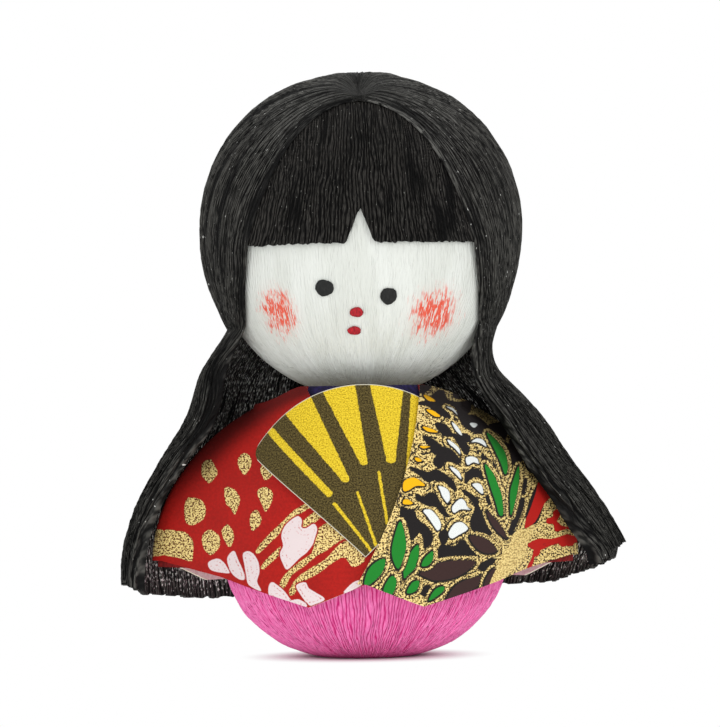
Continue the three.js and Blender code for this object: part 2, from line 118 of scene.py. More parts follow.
def rounded(corners):  # a smooth closed line through the corners
    here = np.array(corners, float)
    before, after, beyond = np.roll(here, 1, 0), np.roll(here, -1, 0), np.roll(here, -2, 0)
    bend = 2 * before - 5 * here + 4 * after - beyond
    twist = 3 * here - before - 3 * after + beyond
    quarters = [0.5 * (2 * here + (after - before) * t + bend * t ** 2 + twist * t ** 3)
                for t in (0, 0.25, 0.5, 0.75)]
    return np.stack(quarters, 1).reshape(-1, 2).tolist()


# Shapes of the base, the robe and the wings, in mm

def superArc(fraction, power):
    return (1 - np.minimum(1, np.abs(fraction)) ** power) ** (1 / power)


def robeRadius(z):
    above = z - base["height"]
    cone = (above + np.hypot(above, robe["blend"])) / 2
    return robe["belt"] - robe["slope"] * cone + robe["flare"] * (cone - above)


def wingReach(z):
    rise = np.maximum(0, (z - wing["low"]) / wing["rise"])
    return wing["span"] * superArc(rise, wing["roundness"])


def robeHalfWidth(z, offset):
    return np.maximum(robeRadius(z) + offset, wingReach(z) + wing["fold"] + offset)


def circleDepth(radius, across):
    return np.sqrt(np.maximum(0, radius ** 2 - across ** 2))


# Front (facing -1) or back (facing 1) of the body circle drawn out to two round wing tips
def robeDepth(x, z, offset, facing):
    body = robeRadius(z) + offset
    tip = wing["fold"] + offset
    reach = wingReach(z)
    tipDepth = facing * wing["tipY"]
    distance = np.maximum(np.hypot(reach, tipDepth), 1e-6)
    across = np.abs(x)
    tangent = np.arctan2(tipDepth, reach) + np.arccos(np.clip((body - tip) / distance, -1, 1))
    normalX, normalY = np.cos(tangent), np.maximum(np.sin(tangent), 1e-6)
    onBody = facing * circleDepth(body, across)
    between = facing * (body - normalX * across) / normalY
    onTip = facing * (tipDepth + circleDepth(tip, across - reach))
    alone = (distance <= body - tip) | (across <= body * normalX)
    return np.where(alone, onBody, np.where(across <= reach + tip * normalX, between, onTip))


def neckHeight(across):
    return robe["top"] - robe["shoulderDrop"] * smooth(across, robe["neck"], robe["shoulder"])


def robeHeight(hem, neck, row):
    low = lerp(hem, robe["waist"], np.minimum(row, 1))
    return np.where(row <= 1, low, lerp(robe["waist"], neck, row - 1))


def stack(x, y, z):
    return np.stack(np.broadcast_arrays(x, y, z), axis=-1).astype(float)


# A thin sheet as one closed shell: a fine outer face, a coarser inner one and the cut edges.
# pointAt(u, v, face) gives mm; every says how many fine steps one inner step takes.
def sheetMesh(name, us, vs, pointAt, every=(4, 2), wrapped=False, fields=None, innerLoose=0.0):
    columns, rows = len(us), len(vs)
    uGrid, vGrid = np.meshgrid(us, vs)
    outer = pointAt(uGrid, vGrid, 1)
    pickU = np.arange(0, columns, every[0])
    pickV = np.arange(0, rows, every[1])
    uInner, vInner = uGrid[np.ix_(pickV, pickU)], vGrid[np.ix_(pickV, pickU)]
    inner = pointAt(uInner, vInner, 0)
    count = rows * columns
    wide = len(pickU)

    def outerAt(row, column):
        return row * columns + column % columns

    def innerAt(row, column):
        return count + row * wide + column % wide

    def quads(at, lastRow, lastColumn, turned):
        row, column = np.meshgrid(np.arange(lastRow), np.arange(lastColumn), indexing="ij")
        corners = [at(row, column), at(row, column + 1), at(row + 1, column + 1), at(row + 1, column)]
        return np.stack(corners[::-1] if turned else corners, -1).reshape(-1, 4).tolist()

    lastOuter = columns if wrapped else columns - 1
    lastInner = wide if wrapped else wide - 1
    faces = quads(outerAt, rows - 1, lastOuter, False)
    outerCount = len(faces)
    faces += quads(innerAt, len(pickV) - 1, lastInner, True)
    innerCount = len(faces)

    def rim(outerLine, innerLine, step, turned):
        for k in range(len(innerLine) - 1):
            fine = outerLine[k * step:(k + 1) * step + 1]
            half = len(fine) // 2
            ring = [[innerLine[k], fine[i + 1], fine[i]] for i in range(half)]
            ring += [[innerLine[k + 1], fine[i + 1], fine[i]] for i in range(half, len(fine) - 1)]
            ring.append([innerLine[k], innerLine[k + 1], fine[half]])
            faces.extend([face[::-1] if turned else face for face in ring])

    for row, turned in ((0, False), (rows - 1, True)):
        outerLine = [outerAt(row, i) for i in range(lastOuter + 1)]
        innerLine = [innerAt(row // every[1], i) for i in range(lastInner + 1)]
        rim(outerLine, innerLine, every[0], turned)
    if not wrapped:
        for column, turned in ((0, True), (columns - 1, False)):
            outerLine = [outerAt(i, column) for i in range(rows)]
            innerLine = [innerAt(i, column // every[0]) for i in range(len(pickV))]
            rim(outerLine, innerLine, every[1], turned)

    points = np.concatenate([outer.reshape(-1, 3), inner.reshape(-1, 3)]) * mm
    mesh = bpy.data.meshes.new(name)
    mesh.from_pydata(points.tolist(), [], faces)
    slots = np.zeros(len(faces), np.int32)  # 0 outer face, 1 inner face, 2 cut edges
    slots[outerCount:innerCount] = 1
    slots[innerCount:] = 2
    mesh.polygons.foreach_set("material_index", slots)
    within = np.ones(inner.shape[:2])
    within[[0, -1]] = 0
    if not wrapped:
        within[:, [0, -1]] = 0
    inside = mesh.attributes.new("inside", "FLOAT", "POINT")
    inside.data.foreach_set("value", np.concatenate([np.zeros(count), within.ravel()]).astype(np.float32))
    grids = ((uGrid, vGrid, outer), (uInner, vInner, inner))
    for key, fieldAt in (fields or {}).items():
        values = [np.asarray(fieldAt(u, v, points), float) for u, v, points in grids]
        if key == "loose":
            values[1] = values[1] * innerLoose
        vector = values[0].ndim == 3
        attribute = mesh.attributes.new(key, "FLOAT_VECTOR" if vector else "FLOAT", "POINT")
        flat = np.concatenate([value.reshape(-1) for value in values]).astype(np.float32)
        attribute.data.foreach_set("vector" if vector else "value", flat)
    closeMesh(mesh)
    return mesh


def closeMesh(mesh):  # joins equal corners, turns the faces out and keeps the cut edges crisp
    work = bmesh.new()
    work.from_mesh(mesh)
    bmesh.ops.remove_doubles(work, verts=work.verts, dist=2e-7)
    bmesh.ops.dissolve_degenerate(work, edges=work.edges, dist=1e-8)
    bmesh.ops.recalc_face_normals(work, faces=work.faces)
    for face in work.faces:
        face.smooth = True
    for edge in work.edges:
        kinds = {face.material_index for face in edge.link_faces}
        edge.smooth = len(kinds) == 1
    work.to_mesh(mesh)
    work.free()
    mesh.update()


def place(name, mesh, materials):
    piece = bpy.data.objects.new(name, mesh)
    bpy.context.scene.collection.objects.link(piece)
    for material in materials:
        mesh.materials.append(material)
    return piece


def settle(piece, node):  # the piece stands for its CAD node and rides on the body
    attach(piece, "root")
    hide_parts(node)
    print(piece.name, len(piece.data.polygons), "faces")


# Node trees: a wrapped socket does arithmetic, and add makes any other node

class Socket:
    def __init__(self, nodes, link):
        self.nodes = nodes
        self.link = link

    def maths(self, operation, *values):
        return self.nodes.add("ShaderNodeMath", {"operation": operation}, values)

    def __add__(self, other):
        return self.maths("ADD", self, other)

    def __radd__(self, other):
        return self.maths("ADD", other, self)

    def __sub__(self, other):
        return self.maths("SUBTRACT", self, other)

    def __rsub__(self, other):
        return self.maths("SUBTRACT", other, self)

    def __mul__(self, other):
        return self.maths("MULTIPLY", self, other)

    def __rmul__(self, other):
        return self.maths("MULTIPLY", other, self)

    def __truediv__(self, other):
        return self.maths("DIVIDE", self, other)

    def __rtruediv__(self, other):
        return self.maths("DIVIDE", other, self)

    def __pow__(self, other):
        return self.maths("POWER", self, other)

    def __abs__(self):
        return self.maths("ABSOLUTE", self)

    def sine(self):
        return self.maths("SINE", self)

    def least(self, other):
        return self.maths("MINIMUM", self, other)

    def most(self, other):
        return self.maths("MAXIMUM", self, other)


class Nodes:
    def __init__(self, tree):
        self.tree = tree

    def add(self, kind, settings=None, values=(), out=0):
        node = self.tree.nodes.new(kind)
        for key, value in (settings or {}).items():
            if key == "stops":
                setStops(node.color_ramp, value)
            else:
                setattr(node, key, value)
        pairs = values.items() if isinstance(values, dict) else enumerate(values)
        for key, value in pairs:
            self.feed(node.inputs[key], value)
        return Socket(self, node.outputs[out])

    def feed(self, socket, value):
        if isinstance(value, Socket):
            self.tree.links.new(value.link, socket)
        elif value is not None:
            socket.default_value = value

    def map(self, value, low, high, toLow=0.0, toHigh=1.0):  # smooth step from low to high
        values = {"Value": value, "From Min": low, "From Max": high, "To Min": toLow, "To Max": toHigh}
        return self.add("ShaderNodeMapRange", {"interpolation_type": "SMOOTHSTEP"}, values)

    def blend(self, factor, a, b):
        settings = {"data_type": "RGBA"}
        return self.add("ShaderNodeMix", settings, {0: factor, 6: a, 7: b}, out=2)

    def vector(self, x, y, z=0.0):
        return self.add("ShaderNodeCombineXYZ", None, [x, y, z])

    def noise(self, where, scale=1.0, detail=2.0, roughness=0.5):
        values = {"Vector": where, "Scale": scale, "Detail": detail, "Roughness": roughness}
        return self.add("ShaderNodeTexNoise", None, values)

    def field(self, name, out="Fac"):  # an attribute of the mesh
        return self.add("ShaderNodeAttribute", {"attribute_name": name}, (), out)

    def spot(self):  # the place on the object, in metres
        return self.add("ShaderNodeTexCoord", None, (), "Object")

    def split(self, vector):
        first = self.add("ShaderNodeSeparateXYZ", None, [vector])
        return [Socket(self, output) for output in first.link.node.outputs]

    # Noise whose grains are so many mm wide and long
    def grain(self, where, pitchX, pitchY, shift=0.0, detail=2.0, roughness=0.5):
        x, y, z = self.split(where)
        return self.noise(self.vector(x / pitchX, y / pitchY, z + shift), 1.0, detail, roughness)

    def end(self, kind, shader):
        output = self.tree.nodes.new(kind)
        self.feed(output.inputs[0], shader)


def setStops(ramp, stops):
    while len(ramp.elements) < len(stops):
        ramp.elements.new(0.5)
    for element, (position, colour) in zip(ramp.elements, stops):
        element.position = position
        element.color = colour


def linear(part):
    return part / 12.92 if part <= 0.04045 else ((part + 0.055) / 1.055) ** 2.4


def rgb(colour):  # a colour as it is seen, 0 to 255, made linear
    return (*(linear(part / 255) for part in colour), 1.0)


def shaded(colour, share):
    return tuple(min(255, part * share) for part in colour)


def newMaterial(name):
    material = bpy.data.materials.new(name)
    material.use_nodes = True
    material.node_tree.nodes.clear()
    return material, Nodes(material.node_tree)


def finishMaterial(nodes, colour, roughness, normal, specular, metallic=None):
    shader = nodes.add("ShaderNodeBsdfPrincipled", None, {
        "Base Color": colour, "Roughness": roughness, "Normal": normal,
        "Specular IOR Level": specular, "Metallic": metallic,
    })
    nodes.end("ShaderNodeOutputMaterial", shader)


def bump(nodes, height, distance):  # distance in mm
    return nodes.add("ShaderNodeBump", None, {"Height": height, "Distance": distance * mm})


# Crepe paper: its ridges run along the sheet; the mesh carries the large ones, and the material works out the
# same ridges again, so that their painted shade in the grooves and painted light on the crests is crisp, and
# adds the finest ones

hairCrepe = {
    "Ridge Pitch": 0.62, "Ridge Length": 7.5, "Ridge Depth": 0.36, "Wiggle": 0.16,
    "Fold Pitch": 2.4, "Fold Length": 16.0, "Fold Depth": 0.42, "Wander": 1.6, "Seed": 5.0,
}
fringeCrepe = {
    "Ridge Pitch": 0.42, "Ridge Length": 6.0, "Ridge Depth": 0.24, "Wiggle": 0.2,
    "Fold Pitch": 1.8, "Fold Length": 12.0, "Fold Depth": 0.06, "Wander": 0.7, "Seed": 15.0,
}
skirtCrepe = {
    "Ridge Pitch": 0.44, "Ridge Length": 5.5, "Ridge Depth": 0.26, "Wiggle": 0.14,
    "Fold Pitch": 0.9, "Fold Length": 6.0, "Fold Depth": 0.26, "Wander": 1.4, "Seed": 3.0,
}
faceCrepe = {
    "Ridge Pitch": 0.42, "Ridge Length": 3.5, "Ridge Depth": 0.12, "Wiggle": 0.35,
    "Fold Pitch": 1.9, "Fold Length": 11.0, "Fold Depth": 0.08, "Wander": 0.8, "Seed": 9.0,
}
# groove is painted shade in the grooves and crest is painted light on the crests; unlitShare sets how far
# strands that are not lit rise from groove to crest; within is the crest colour of the inner face, lifted for
# the hair as painted light; glint is the colour of painted glints
crepeInks = {
    "hair_crepe": {
        "values": hairCrepe, "groove": (2, 2, 2), "crest": (82, 81, 77), "within": (112, 108, 104),
        "glint": (235, 235, 230), "unlitShare": 0.3, "edge": 0.9, "valley": 0.42, "rough": 0.6, "fine": 0.16,
        "specular": 0.12,
    },
    "fringe_crepe": {
        "values": fringeCrepe, "groove": (2, 2, 2), "crest": (62, 60, 57), "within": (62, 60, 57),
        "glint": (150, 150, 144), "unlitShare": 0.35, "edge": 0.9, "valley": 0.38, "rough": 0.65, "fine": 0.14,
        "specular": 0.08,
    },
    "skirt_crepe": {
        "values": skirtCrepe, "groove": (206, 44, 122), "crest": (255, 136, 197), "within": (255, 140, 198),
        "glint": (255, 190, 222), "unlitShare": 0.75, "edge": 0.5, "valley": 0.3, "rough": 0.8, "fine": 0.1,
        "specular": 0.06,
    },
}
crepeGrains = {  # pitch across, pitch along, seed and detail of each noise
    "grain": (0.12, 1.1, 0.0, 1), "patch": (3.0, 8.0, 7.0, 2), "sparks": (0.2, 0.45, 31.0, 1),
    "fibres": (0.1, 0.6, 3.0, 2),
}
strandBends = {"Wander": (7.0, 11.0, 0.0), "Wiggle": (1.2, 1.5, 41.0)}  # pitch, length and seed
widerRidges = ((2.0, 0.25, 0.6), (4.2, 0.8, 0.97))  # share of the pitch, and where the gather brings it in
ridgeRules = {"mergePitch": 2.6, "mergeBend": 2.8, "thinShare": 0.57, "foldStretch": 1.5}


def crepeLayers(nodes, where, value):  # wide and thin ridges, 0 in their grooves, and the folds
    x, y, gather = nodes.split(where)

    def noiseOf(across, pitch, length, shift):
        at = nodes.vector(across / pitch, y / length, value["Seed"] + shift)
        return nodes.noise(at, detail=1.0) - 0.5

    bent = x
    for name, (pitch, length, shift) in strandBends.items():
        bent = bent + noiseOf(x, pitch, length, shift) * value[name]

    def ridgesOf(share, shift):  # side by side, but they wander, merge and part
        pitch, length = value["Ridge Pitch"] * share, value["Ridge Length"] * share
        merge = noiseOf(bent, pitch * ridgeRules["mergePitch"], length, shift)
        phase = (bent / pitch + merge * ridgeRules["mergeBend"]) * math.pi
        return abs(phase.sine())

    ridge = ridgesOf(1.0, 1.0)
    for share, start, full in widerRidges:  # where the paper is drawn together
        ridge = ridge + (ridgesOf(share, 50.0 + share) - ridge) * nodes.map(gather, start, full)
    fold = noiseOf(bent, value["Fold Pitch"] * ridgeRules["foldStretch"], value["Fold Length"], 23.0)
    return ridge, ridgesOf(ridgeRules["thinShare"], 11.0), 0.5 + 2.0 * fold


def ridgeHeight(ridge, thin):
    return 0.65 * ridge + 0.35 * thin


def crepeMaterial(name):
    ink = crepeInks[name]
    material, nodes = newMaterial(name)
    where, within = nodes.field("paper", "Vector"), nodes.field("inside")
    gather = nodes.split(where)[2]
    ridge, thin, fold = crepeLayers(nodes, where, ink["values"])
    grain, patch, sparks, fibres = [nodes.grain(where, *values) for values in crepeGrains.values()]
    # painted shade: the crests are drawn darker in the valleys of the folds
    valley = nodes.map(fold, ink["valley"] - 0.3, ink["valley"])
    crest = ridge * (0.45 + 0.55 * thin) * (0.3 + 0.7 * valley)
    # painted light: some strands are drawn lit and some dim, after the grain, the patches and the folds
    lit = nodes.map(grain + (patch - 0.5) * 0.25 + (fold - 0.5) * 0.1, 0.36, 0.62)
    dim = [lerp(low, high, ink["unlitShare"]) for low, high in zip(ink["groove"], ink["crest"])]
    # painted light: the inner face, which lies in shade, gets its own crest colour, lighter for the hair
    strand = nodes.blend(within, rgb(ink["crest"]), rgb(ink["within"]))
    strand = nodes.blend(lit, rgb(dim), strand)
    # painted shade in the grooves, painted light on the crests
    shown = nodes.map(crest + (grain - 0.5) * 0.2, 0.08, ink["edge"])
    colour = nodes.blend(shown, rgb(ink["groove"]), strand)
    # painted glints: sparse light specks on the crests, more of them on the inner face; and at the crown,
    # where the paper gathers, a painted highlight
    glint = nodes.map(sparks + 0.17 * within, 0.71, 0.78) * nodes.map(crest, 0.2, 0.5)
    for light in (glint * (0.7 + 0.3 * within), gather * crest * lit * 0.16):
        colour = nodes.blend(light, colour, rgb(ink["glint"]))
    normal = bump(nodes, crest * 1.2 + grain + fibres * 0.5, ink["fine"])
    rough = nodes.map(fibres, 0.3, 0.7, ink["rough"] - 0.08, ink["rough"] + 0.08)
    finishMaterial(nodes, colour, rough, normal, ink["specular"])
    return material


# shade, light and groove are painted shade and light on the crepe; stroke and tint are the rouge
faceInks = {
    "shade": (215, 218, 211), "light": (223, 226, 220), "groove": (150, 140, 126),
    "stroke": (224, 60, 28), "tint": (248, 150, 120),
}
rouge = [
    {"x": -9.9, "z": 42.0, "width": 2.4, "height": 3.3, "slant": -0.25},
    {"x": 8.6, "z": 41.6, "width": 3.2, "height": 3.4, "slant": 0.22},
]


def dabRouge(nodes, colour, mark, x, z, front):  # dry brush strokes over a faint tint
    up = z - mark["z"]
    across = x - mark["x"] - up * mark["slant"]
    u, v = across * (1 / mark["width"]), up * (1 / mark["height"])
    reach = (u * u + v * v) ** 0.5
    strokes = nodes.noise(nodes.vector(across / 0.14, up / 1.0, mark["z"]), detail=2, roughness=0.6)
    soft = nodes.noise(nodes.vector(across / 0.6, up / 1.4, 2.0), detail=1)
    body = nodes.map(reach + (soft - 0.5) * 1.3, 1.25, 0.3)
    strong = nodes.map(strokes + 0.16 * body, 0.57, 0.65)
    colour = nodes.blend(strong * body * front * 0.95, colour, rgb(faceInks["stroke"]))
    return nodes.blend(nodes.map(reach, 1.4, 0.2) * front * 0.13, colour, rgb(faceInks["tint"]))


def faceMaterial():
    material, nodes = newMaterial("face_crepe")
    where = nodes.field("paper", "Vector")
    ridge, thin, fold = crepeLayers(nodes, where, faceCrepe)
    crest = ridgeHeight(ridge, thin)
    x, y, z = [part * (1 / mm) for part in nodes.split(nodes.spot())]
    grain = nodes.grain(where, 0.2, 1.2, detail=3)
    front = nodes.map(y, -2.0, -6.0)
    outward = nodes.map(abs(x + 0.7), 9.0, 16.5).most(nodes.map(z, 38.5, 32.5))
    groove = nodes.map(crest + (grain - 0.5) * 0.5, 0.5, 0.05)
    # painted shade and light: the folds are drawn darker and lighter
    colour = nodes.blend(nodes.map(fold, 0.2, 0.8), rgb(faceInks["shade"]), rgb(faceInks["light"]))
    # painted shade in the crepe's grooves, stronger towards the sides and the chin
    colour = nodes.blend(groove * (0.05 + 0.34 * outward), colour, rgb(faceInks["groove"]))
    for mark in rouge:
        colour = dabRouge(nodes, colour, mark, x, z, front)
    finishMaterial(nodes, colour, 0.85, bump(nodes, crest + grain, 0.06), 0.2)
    return material


# Geometry nodes move the loose side of a sheet along its normal by the same ridges and folds
def crepeTree():
    tree = bpy.data.node_groups.new("crepeRidges", "GeometryNodeTree")
    nodes = Nodes(tree)
    tree.interface.new_socket("Sheet", in_out="INPUT", socket_type="NodeSocketGeometry")
    for name, usual in hairCrepe.items():
        size = tree.interface.new_socket(name, in_out="INPUT", socket_type="NodeSocketFloat")
        size.default_value = usual
    tree.interface.new_socket("Paper", in_out="INPUT", socket_type="NodeSocketMaterial")
    tree.interface.new_socket("Sheet", in_out="OUTPUT", socket_type="NodeSocketGeometry")
    given = tree.nodes.new("NodeGroupInput")
    value = {name: Socket(nodes, given.outputs[name]) for name in ("Sheet", *hairCrepe, "Paper")}
    where = nodes.add("GeometryNodeInputNamedAttribute", {"data_type": "FLOAT_VECTOR"}, {"Name": "paper"})
    loose = nodes.add("GeometryNodeInputNamedAttribute", {"data_type": "FLOAT"}, {"Name": "loose"})
    ridge, thin, fold = crepeLayers(nodes, where, value)
    height = (ridgeHeight(ridge, thin) - 0.8) * value["Ridge Depth"] + (fold - 0.7) * value["Fold Depth"]
    normal = nodes.add("GeometryNodeInputNormal")
    move = nodes.add("ShaderNodeVectorMath", {"operation": "SCALE"},
                     {"Vector": normal, "Scale": height * loose * mm})
    moved = nodes.add("GeometryNodeSetPosition", None, {"Geometry": value["Sheet"], "Offset": move})
    whole = nodes.add("GeometryNodeRealizeInstances", None, {"Geometry": moved})
    painted = nodes.add("GeometryNodeSetMaterial", None, {"Geometry": whole, "Material": value["Paper"]})
    nodes.end("NodeGroupOutput", painted)
    return tree


crepeRidges = crepeTree()


def finishCrepe(name, node, mesh, material, values):
    piece = place(name, mesh, [material])
    modifier = piece.modifiers.new("crinkle", "NODES")
    modifier.node_group = crepeRidges
    values = {**values, "Paper": material}
    for item in crepeRidges.interface.items_tree:
        if item.in_out == "INPUT" and item.name in values:
            modifier[item.identifier] = values[item.name]
    bpy.context.view_layer.update()
    shown = piece.evaluated_get(bpy.context.evaluated_depsgraph_get())
    crinkled = bpy.data.meshes.new_from_object(shown)
    piece.modifiers.clear()
    piece.data = crinkled
    crinkled.shade_smooth()
    settle(piece, node)


# Base: pink crepe, gathered over the bowl and up under the robe

skirt = {
    "columns": 880, "rows": 61, "sectionSteps": 60, "upperSteps": 12, "footFlat": 0.05, "footFree": 1.6,
    "beltFree": 14.5, "beltFlat": 17, "loose": 0.95,
}


def baseSection(inset, count):
    share = base["height"] / (base["height"] + base["footDepth"])
    foot = math.acos(share ** (base["roundness"] / 2))
    angle = np.linspace(foot, math.pi / 2, count)
    r = (base["radius"] - inset) * np.sin(angle) ** (2 / base["roundness"])
    fall = np.maximum(0, np.cos(angle)) ** (2 / base["roundness"])
    z = base["height"] - (base["height"] + base["footDepth"] - inset) * fall
    return r, np.maximum(z, inset)


def skirtProfile(face):
    inset = 0 if face else paper["crepe"]
    r, z = baseSection(inset, skirt["sectionSteps"])
    upperZ = np.linspace(base["height"] + 0.5, base["height"] + base["skirtAbove"], skirt["upperSteps"])
    upperR = np.minimum(base["radius"], robeRadius(upperZ) - paper["gap"]) - inset
    return np.concatenate([[0], r, upperR]), np.concatenate([[inset], z, upperZ])


def makeSkirt():
    outerR, outerZ = skirtProfile(1)
    length = np.concatenate([[0], np.cumsum(np.hypot(np.diff(outerR), np.diff(outerZ)))])
    index = np.arange(len(length))
    rows = np.interp(np.linspace(0, length[-1], skirt["rows"]), length, index)
    angles = np.linspace(0, 2 * math.pi, skirt["columns"], endpoint=False)

    def pointAt(angle, row, face):
        r, z = skirtProfile(face)
        radius, height = np.interp(row, index, r), np.interp(row, index, z)
        return stack(radius * np.cos(angle), radius * np.sin(angle), height)

    def looseAt(angle, row, points):
        height = points[..., 2]
        aboveFoot = smooth(height, skirt["footFlat"], skirt["footFree"])
        return aboveFoot * (1 - smooth(height, skirt["beltFree"], skirt["beltFlat"])) * skirt["loose"]

    def paperAt(angle, row, points):
        along = np.interp(row, index, length)
        return stack(angle * base["radius"], along, 0)

    mesh = sheetMesh("skirt_wrap", angles, rows, pointAt, wrapped=True,
                     fields={"paper": paperAt, "loose": looseAt})
    finishCrepe("pink_skirt", "skirt_wrap", mesh, crepeMaterial("skirt_crepe"), skirtCrepe)


# Head: white crepe over the ball, gathered at the crown and under the chin

face = {  # pitches in degrees above the middle of the head
    "columns": 800, "rows": 81, "knot": 62, "chin": (-22, -58), "crown": (50, 80), "sides": (0.55, 0.95),
    "flat": 0.12, "gathered": 0.8, "sideLoose": 0.3, "crowding": 2.2,
}


def makeFace():
    lowPitch = -math.degrees(math.acos(head["opening"] / head["radius"]))
    pitches = np.linspace(lowPitch, 90, face["rows"])
    angles = np.linspace(0, 2 * math.pi, face["columns"], endpoint=False)

    def pointAt(angle, pitch, outside):
        gather = head["crownGather"] * smooth(pitch, face["knot"], 90)
        radius = head["radius"] + gather - (1 - outside) * paper["crepe"]
        flat = radius * np.cos(np.radians(pitch))
        z = head["height"] + radius * np.sin(np.radians(pitch))
        return stack(flat * np.cos(angle), flat * np.sin(angle), z)

    def looseAt(angle, pitch, points):
        gathered = np.maximum(smooth(pitch, *face["chin"]), smooth(pitch, *face["crown"]))
        side = smooth(np.abs(np.cos(angle)), *face["sides"])
        room = np.minimum(1, face["crowding"] * np.cos(np.radians(pitch)))
        return (face["flat"] + face["gathered"] * gathered + face["sideLoose"] * side) * room

    def paperAt(angle, pitch, points):
        return stack(angle * head["radius"], np.radians(pitch) * head["radius"], 0)

    mesh = sheetMesh("face_wrap", angles, pitches, pointAt, wrapped=True,
                     fields={"paper": paperAt, "loose": looseAt})
    finishCrepe("white_face", "face_wrap", mesh, faceMaterial(), faceCrepe)


# Face dots: cut by hand from matte paper

faceDots = {
    "eye_left": {"x": -4.4, "below": 4.78, "width": 2.25, "height": 2.0, "slot": "black_dot"},
    "eye_right": {"x": 3.17, "below": 5.85, "width": 2.0, "height": 2.05, "slot": "black_dot"},
    "nose_dot": {"x": -0.64, "below": 7.7, "width": 1.6, "height": 1.25, "slot": "red_dot"},
    "mouth_dot": {"x": -0.94, "below": 9.86, "width": 1.6, "height": 1.15, "slot": "red_dot"},
}
dotInks = {"black_dot": (36, 37, 36), "red_dot": (176, 34, 44)}
dotPaper = {"lift": 0.1, "thickness": 0.16, "jag": 0.035, "sag": 0.05, "columns": 72}


def dotMaterial(slotName, ink):
    material, nodes = newMaterial(slotName + "_paper")
    grain = nodes.grain(nodes.field("paper", "Vector"), 0.18, 0.5, detail=3)
    dark = rgb(shaded(ink, 0.72))
    colour = nodes.blend(nodes.map(grain, 0.3, 0.75), dark, rgb(shaded(ink, 1.12)))
    colour = nodes.blend(nodes.map(nodes.field("edge"), 0.86, 1.0) * 0.5, colour, dark)
    finishMaterial(nodes, colour, 0.78, bump(nodes, grain, 0.03), 0.25)
    return material


def makeDot(name, spec, material, seed):
    toFront = math.sqrt(head["radius"] ** 2 - spec["x"] ** 2 - spec["below"] ** 2)
    middle = np.array([spec["x"], -toFront, -spec["below"]]) / head["radius"]
    right = np.array([-middle[1], middle[0], 0]) / math.hypot(middle[0], middle[1])
    above = np.cross(right, middle)
    angles = np.linspace(0, 2 * math.pi, dotPaper["columns"], endpoint=False)
    reaches = np.array([0, 0.3, 0.55, 0.75, 0.88, 0.96, 1.0])

    def pointAt(angle, reach, face):
        jag = dotPaper["jag"]
        cut = 1 + jag * (np.sin(3 * angle + spec["x"]) + 0.7 * np.sin(5 * angle + spec["below"]))
        cut = cut + 0.4 * jag * np.sin(11 * angle + seed) + 0.3 * jag * np.sin(17 * angle)
        across = 0.5 * spec["width"] * cut * reach * np.cos(angle)
        up = 0.5 * spec["height"] * cut * reach * np.sin(angle)
        line = middle * head["radius"] + across[..., None] * right + up[..., None] * above
        line = line / np.linalg.norm(line, axis=-1, keepdims=True)
        sag = dotPaper["sag"] * smooth(reach, 0.8, 1.0)
        radius = head["radius"] + dotPaper["lift"] + face * (dotPaper["thickness"] - sag)
        line = line * radius[..., None]
        return line + np.array([0, 0, head["height"]])

    def paperAt(angle, reach, points):
        return stack(points[..., 0], points[..., 2], seed)

    def edgeAt(angle, reach, points):
        return reach

    mesh = sheetMesh(name, angles, reaches, pointAt, every=(1, 1), wrapped=True,
                     fields={"paper": paperAt, "edge": edgeAt})
    settle(place(name + "_paper", mesh, [material]), name)


def makeDots():
    materials = {slotName: dotMaterial(slotName, ink) for slotName, ink in dotInks.items()}
    for seed, (name, spec) in enumerate(faceDots.items()):
        makeDot(name, spec, materials[spec["slot"]], seed)


# Hair

hair = {
    "radius": head["radius"] + 1.1, "fullness": 2.75, "fall": 2.3, "crownPitch": 61, "neckPitch": -30,
    "neckTurn": 118, "tipSpreadLeft": 4.8, "tipSpreadRight": 7.0, "backSpread": 3.4, "frontDepth": 6,
    "lowest": 7, "lockThickness": 0.8, "flutes": 5, "fluteDepth": 0.6, "pleats": 19, "pleatDepth": 0.25,
    "rollFrom": 0.968, "rollWidth": 0.032, "ropePitch": 1.9, "ropeDepth": 0.32, "ropeBase": 0.3,
    "halfWidth": 54, "headLength": 34, "hangLength": 32, "edgeFiner": 6.0, "edgeTwist": 1.8,
    "hemWider": 0.18, "crownNarrower": 0.15, "columns": 841, "rows": 41,
    "pulls": ((144, 52, 36), (136, -12, 52)),  # turn, pitch at the front edge, rise to the middle
    "tears": ((0.16, 0.011, 21), (0.12, 0.005, 22)),
    "fullPitch": (-24, 62), "overFringe": (-8, 2), "clear": 0.14, "tuckSide": (0.88, 0.985), "tuckTop": 0.13,
    "lockSide": (0.8, 0.93), "lockStart": (-0.05, 0.12), "lockTwist": 6, "looseFall": (0.12, 0.9),
    "edgeSide": (0.74, 1.0), "twistSide": (0.72, 0.9),
}
hairLines = {  # share of the fall below the neck, and the spread or the turn of the edge there
    "spreadLeft": [
        [0, 0], [0.055, 0.085], [0.145, 0.24], [0.32, 0.41], [0.5, 0.68], [0.675, 0.89], [0.88, 1], [1, 1],
    ],
    "spreadRight": [
        [0, 0], [0.07, -0.04], [0.16, 0], [0.25, 0.19], [0.34, 0.37], [0.52, 0.635], [0.7, 0.885],
        [0.82, 1], [1, 0.91],
    ],
    "spreadBack": [[0, 0], [0.18, -0.03], [0.36, 0.06], [0.6, 0.41], [0.85, 0.82], [1, 1]],
    "spreadFront": [[0, 0], [0.18, 0.43], [0.36, 0.81], [0.6, 0.95], [1, 1]],
    "lockEndLeft": [
        [0, 118], [0.09, 118], [0.22, 122], [0.38, 122], [0.49, 117.5], [0.62, 113.5], [0.73, 111.5],
        [1, 110],
    ],
    "lockEndRight": [
        [0, 118], [0.1, 120], [0.22, 128], [0.36, 130], [0.52, 128.5], [0.64, 126], [0.76, 124],
        [0.88, 118], [1, 117],
    ],
}
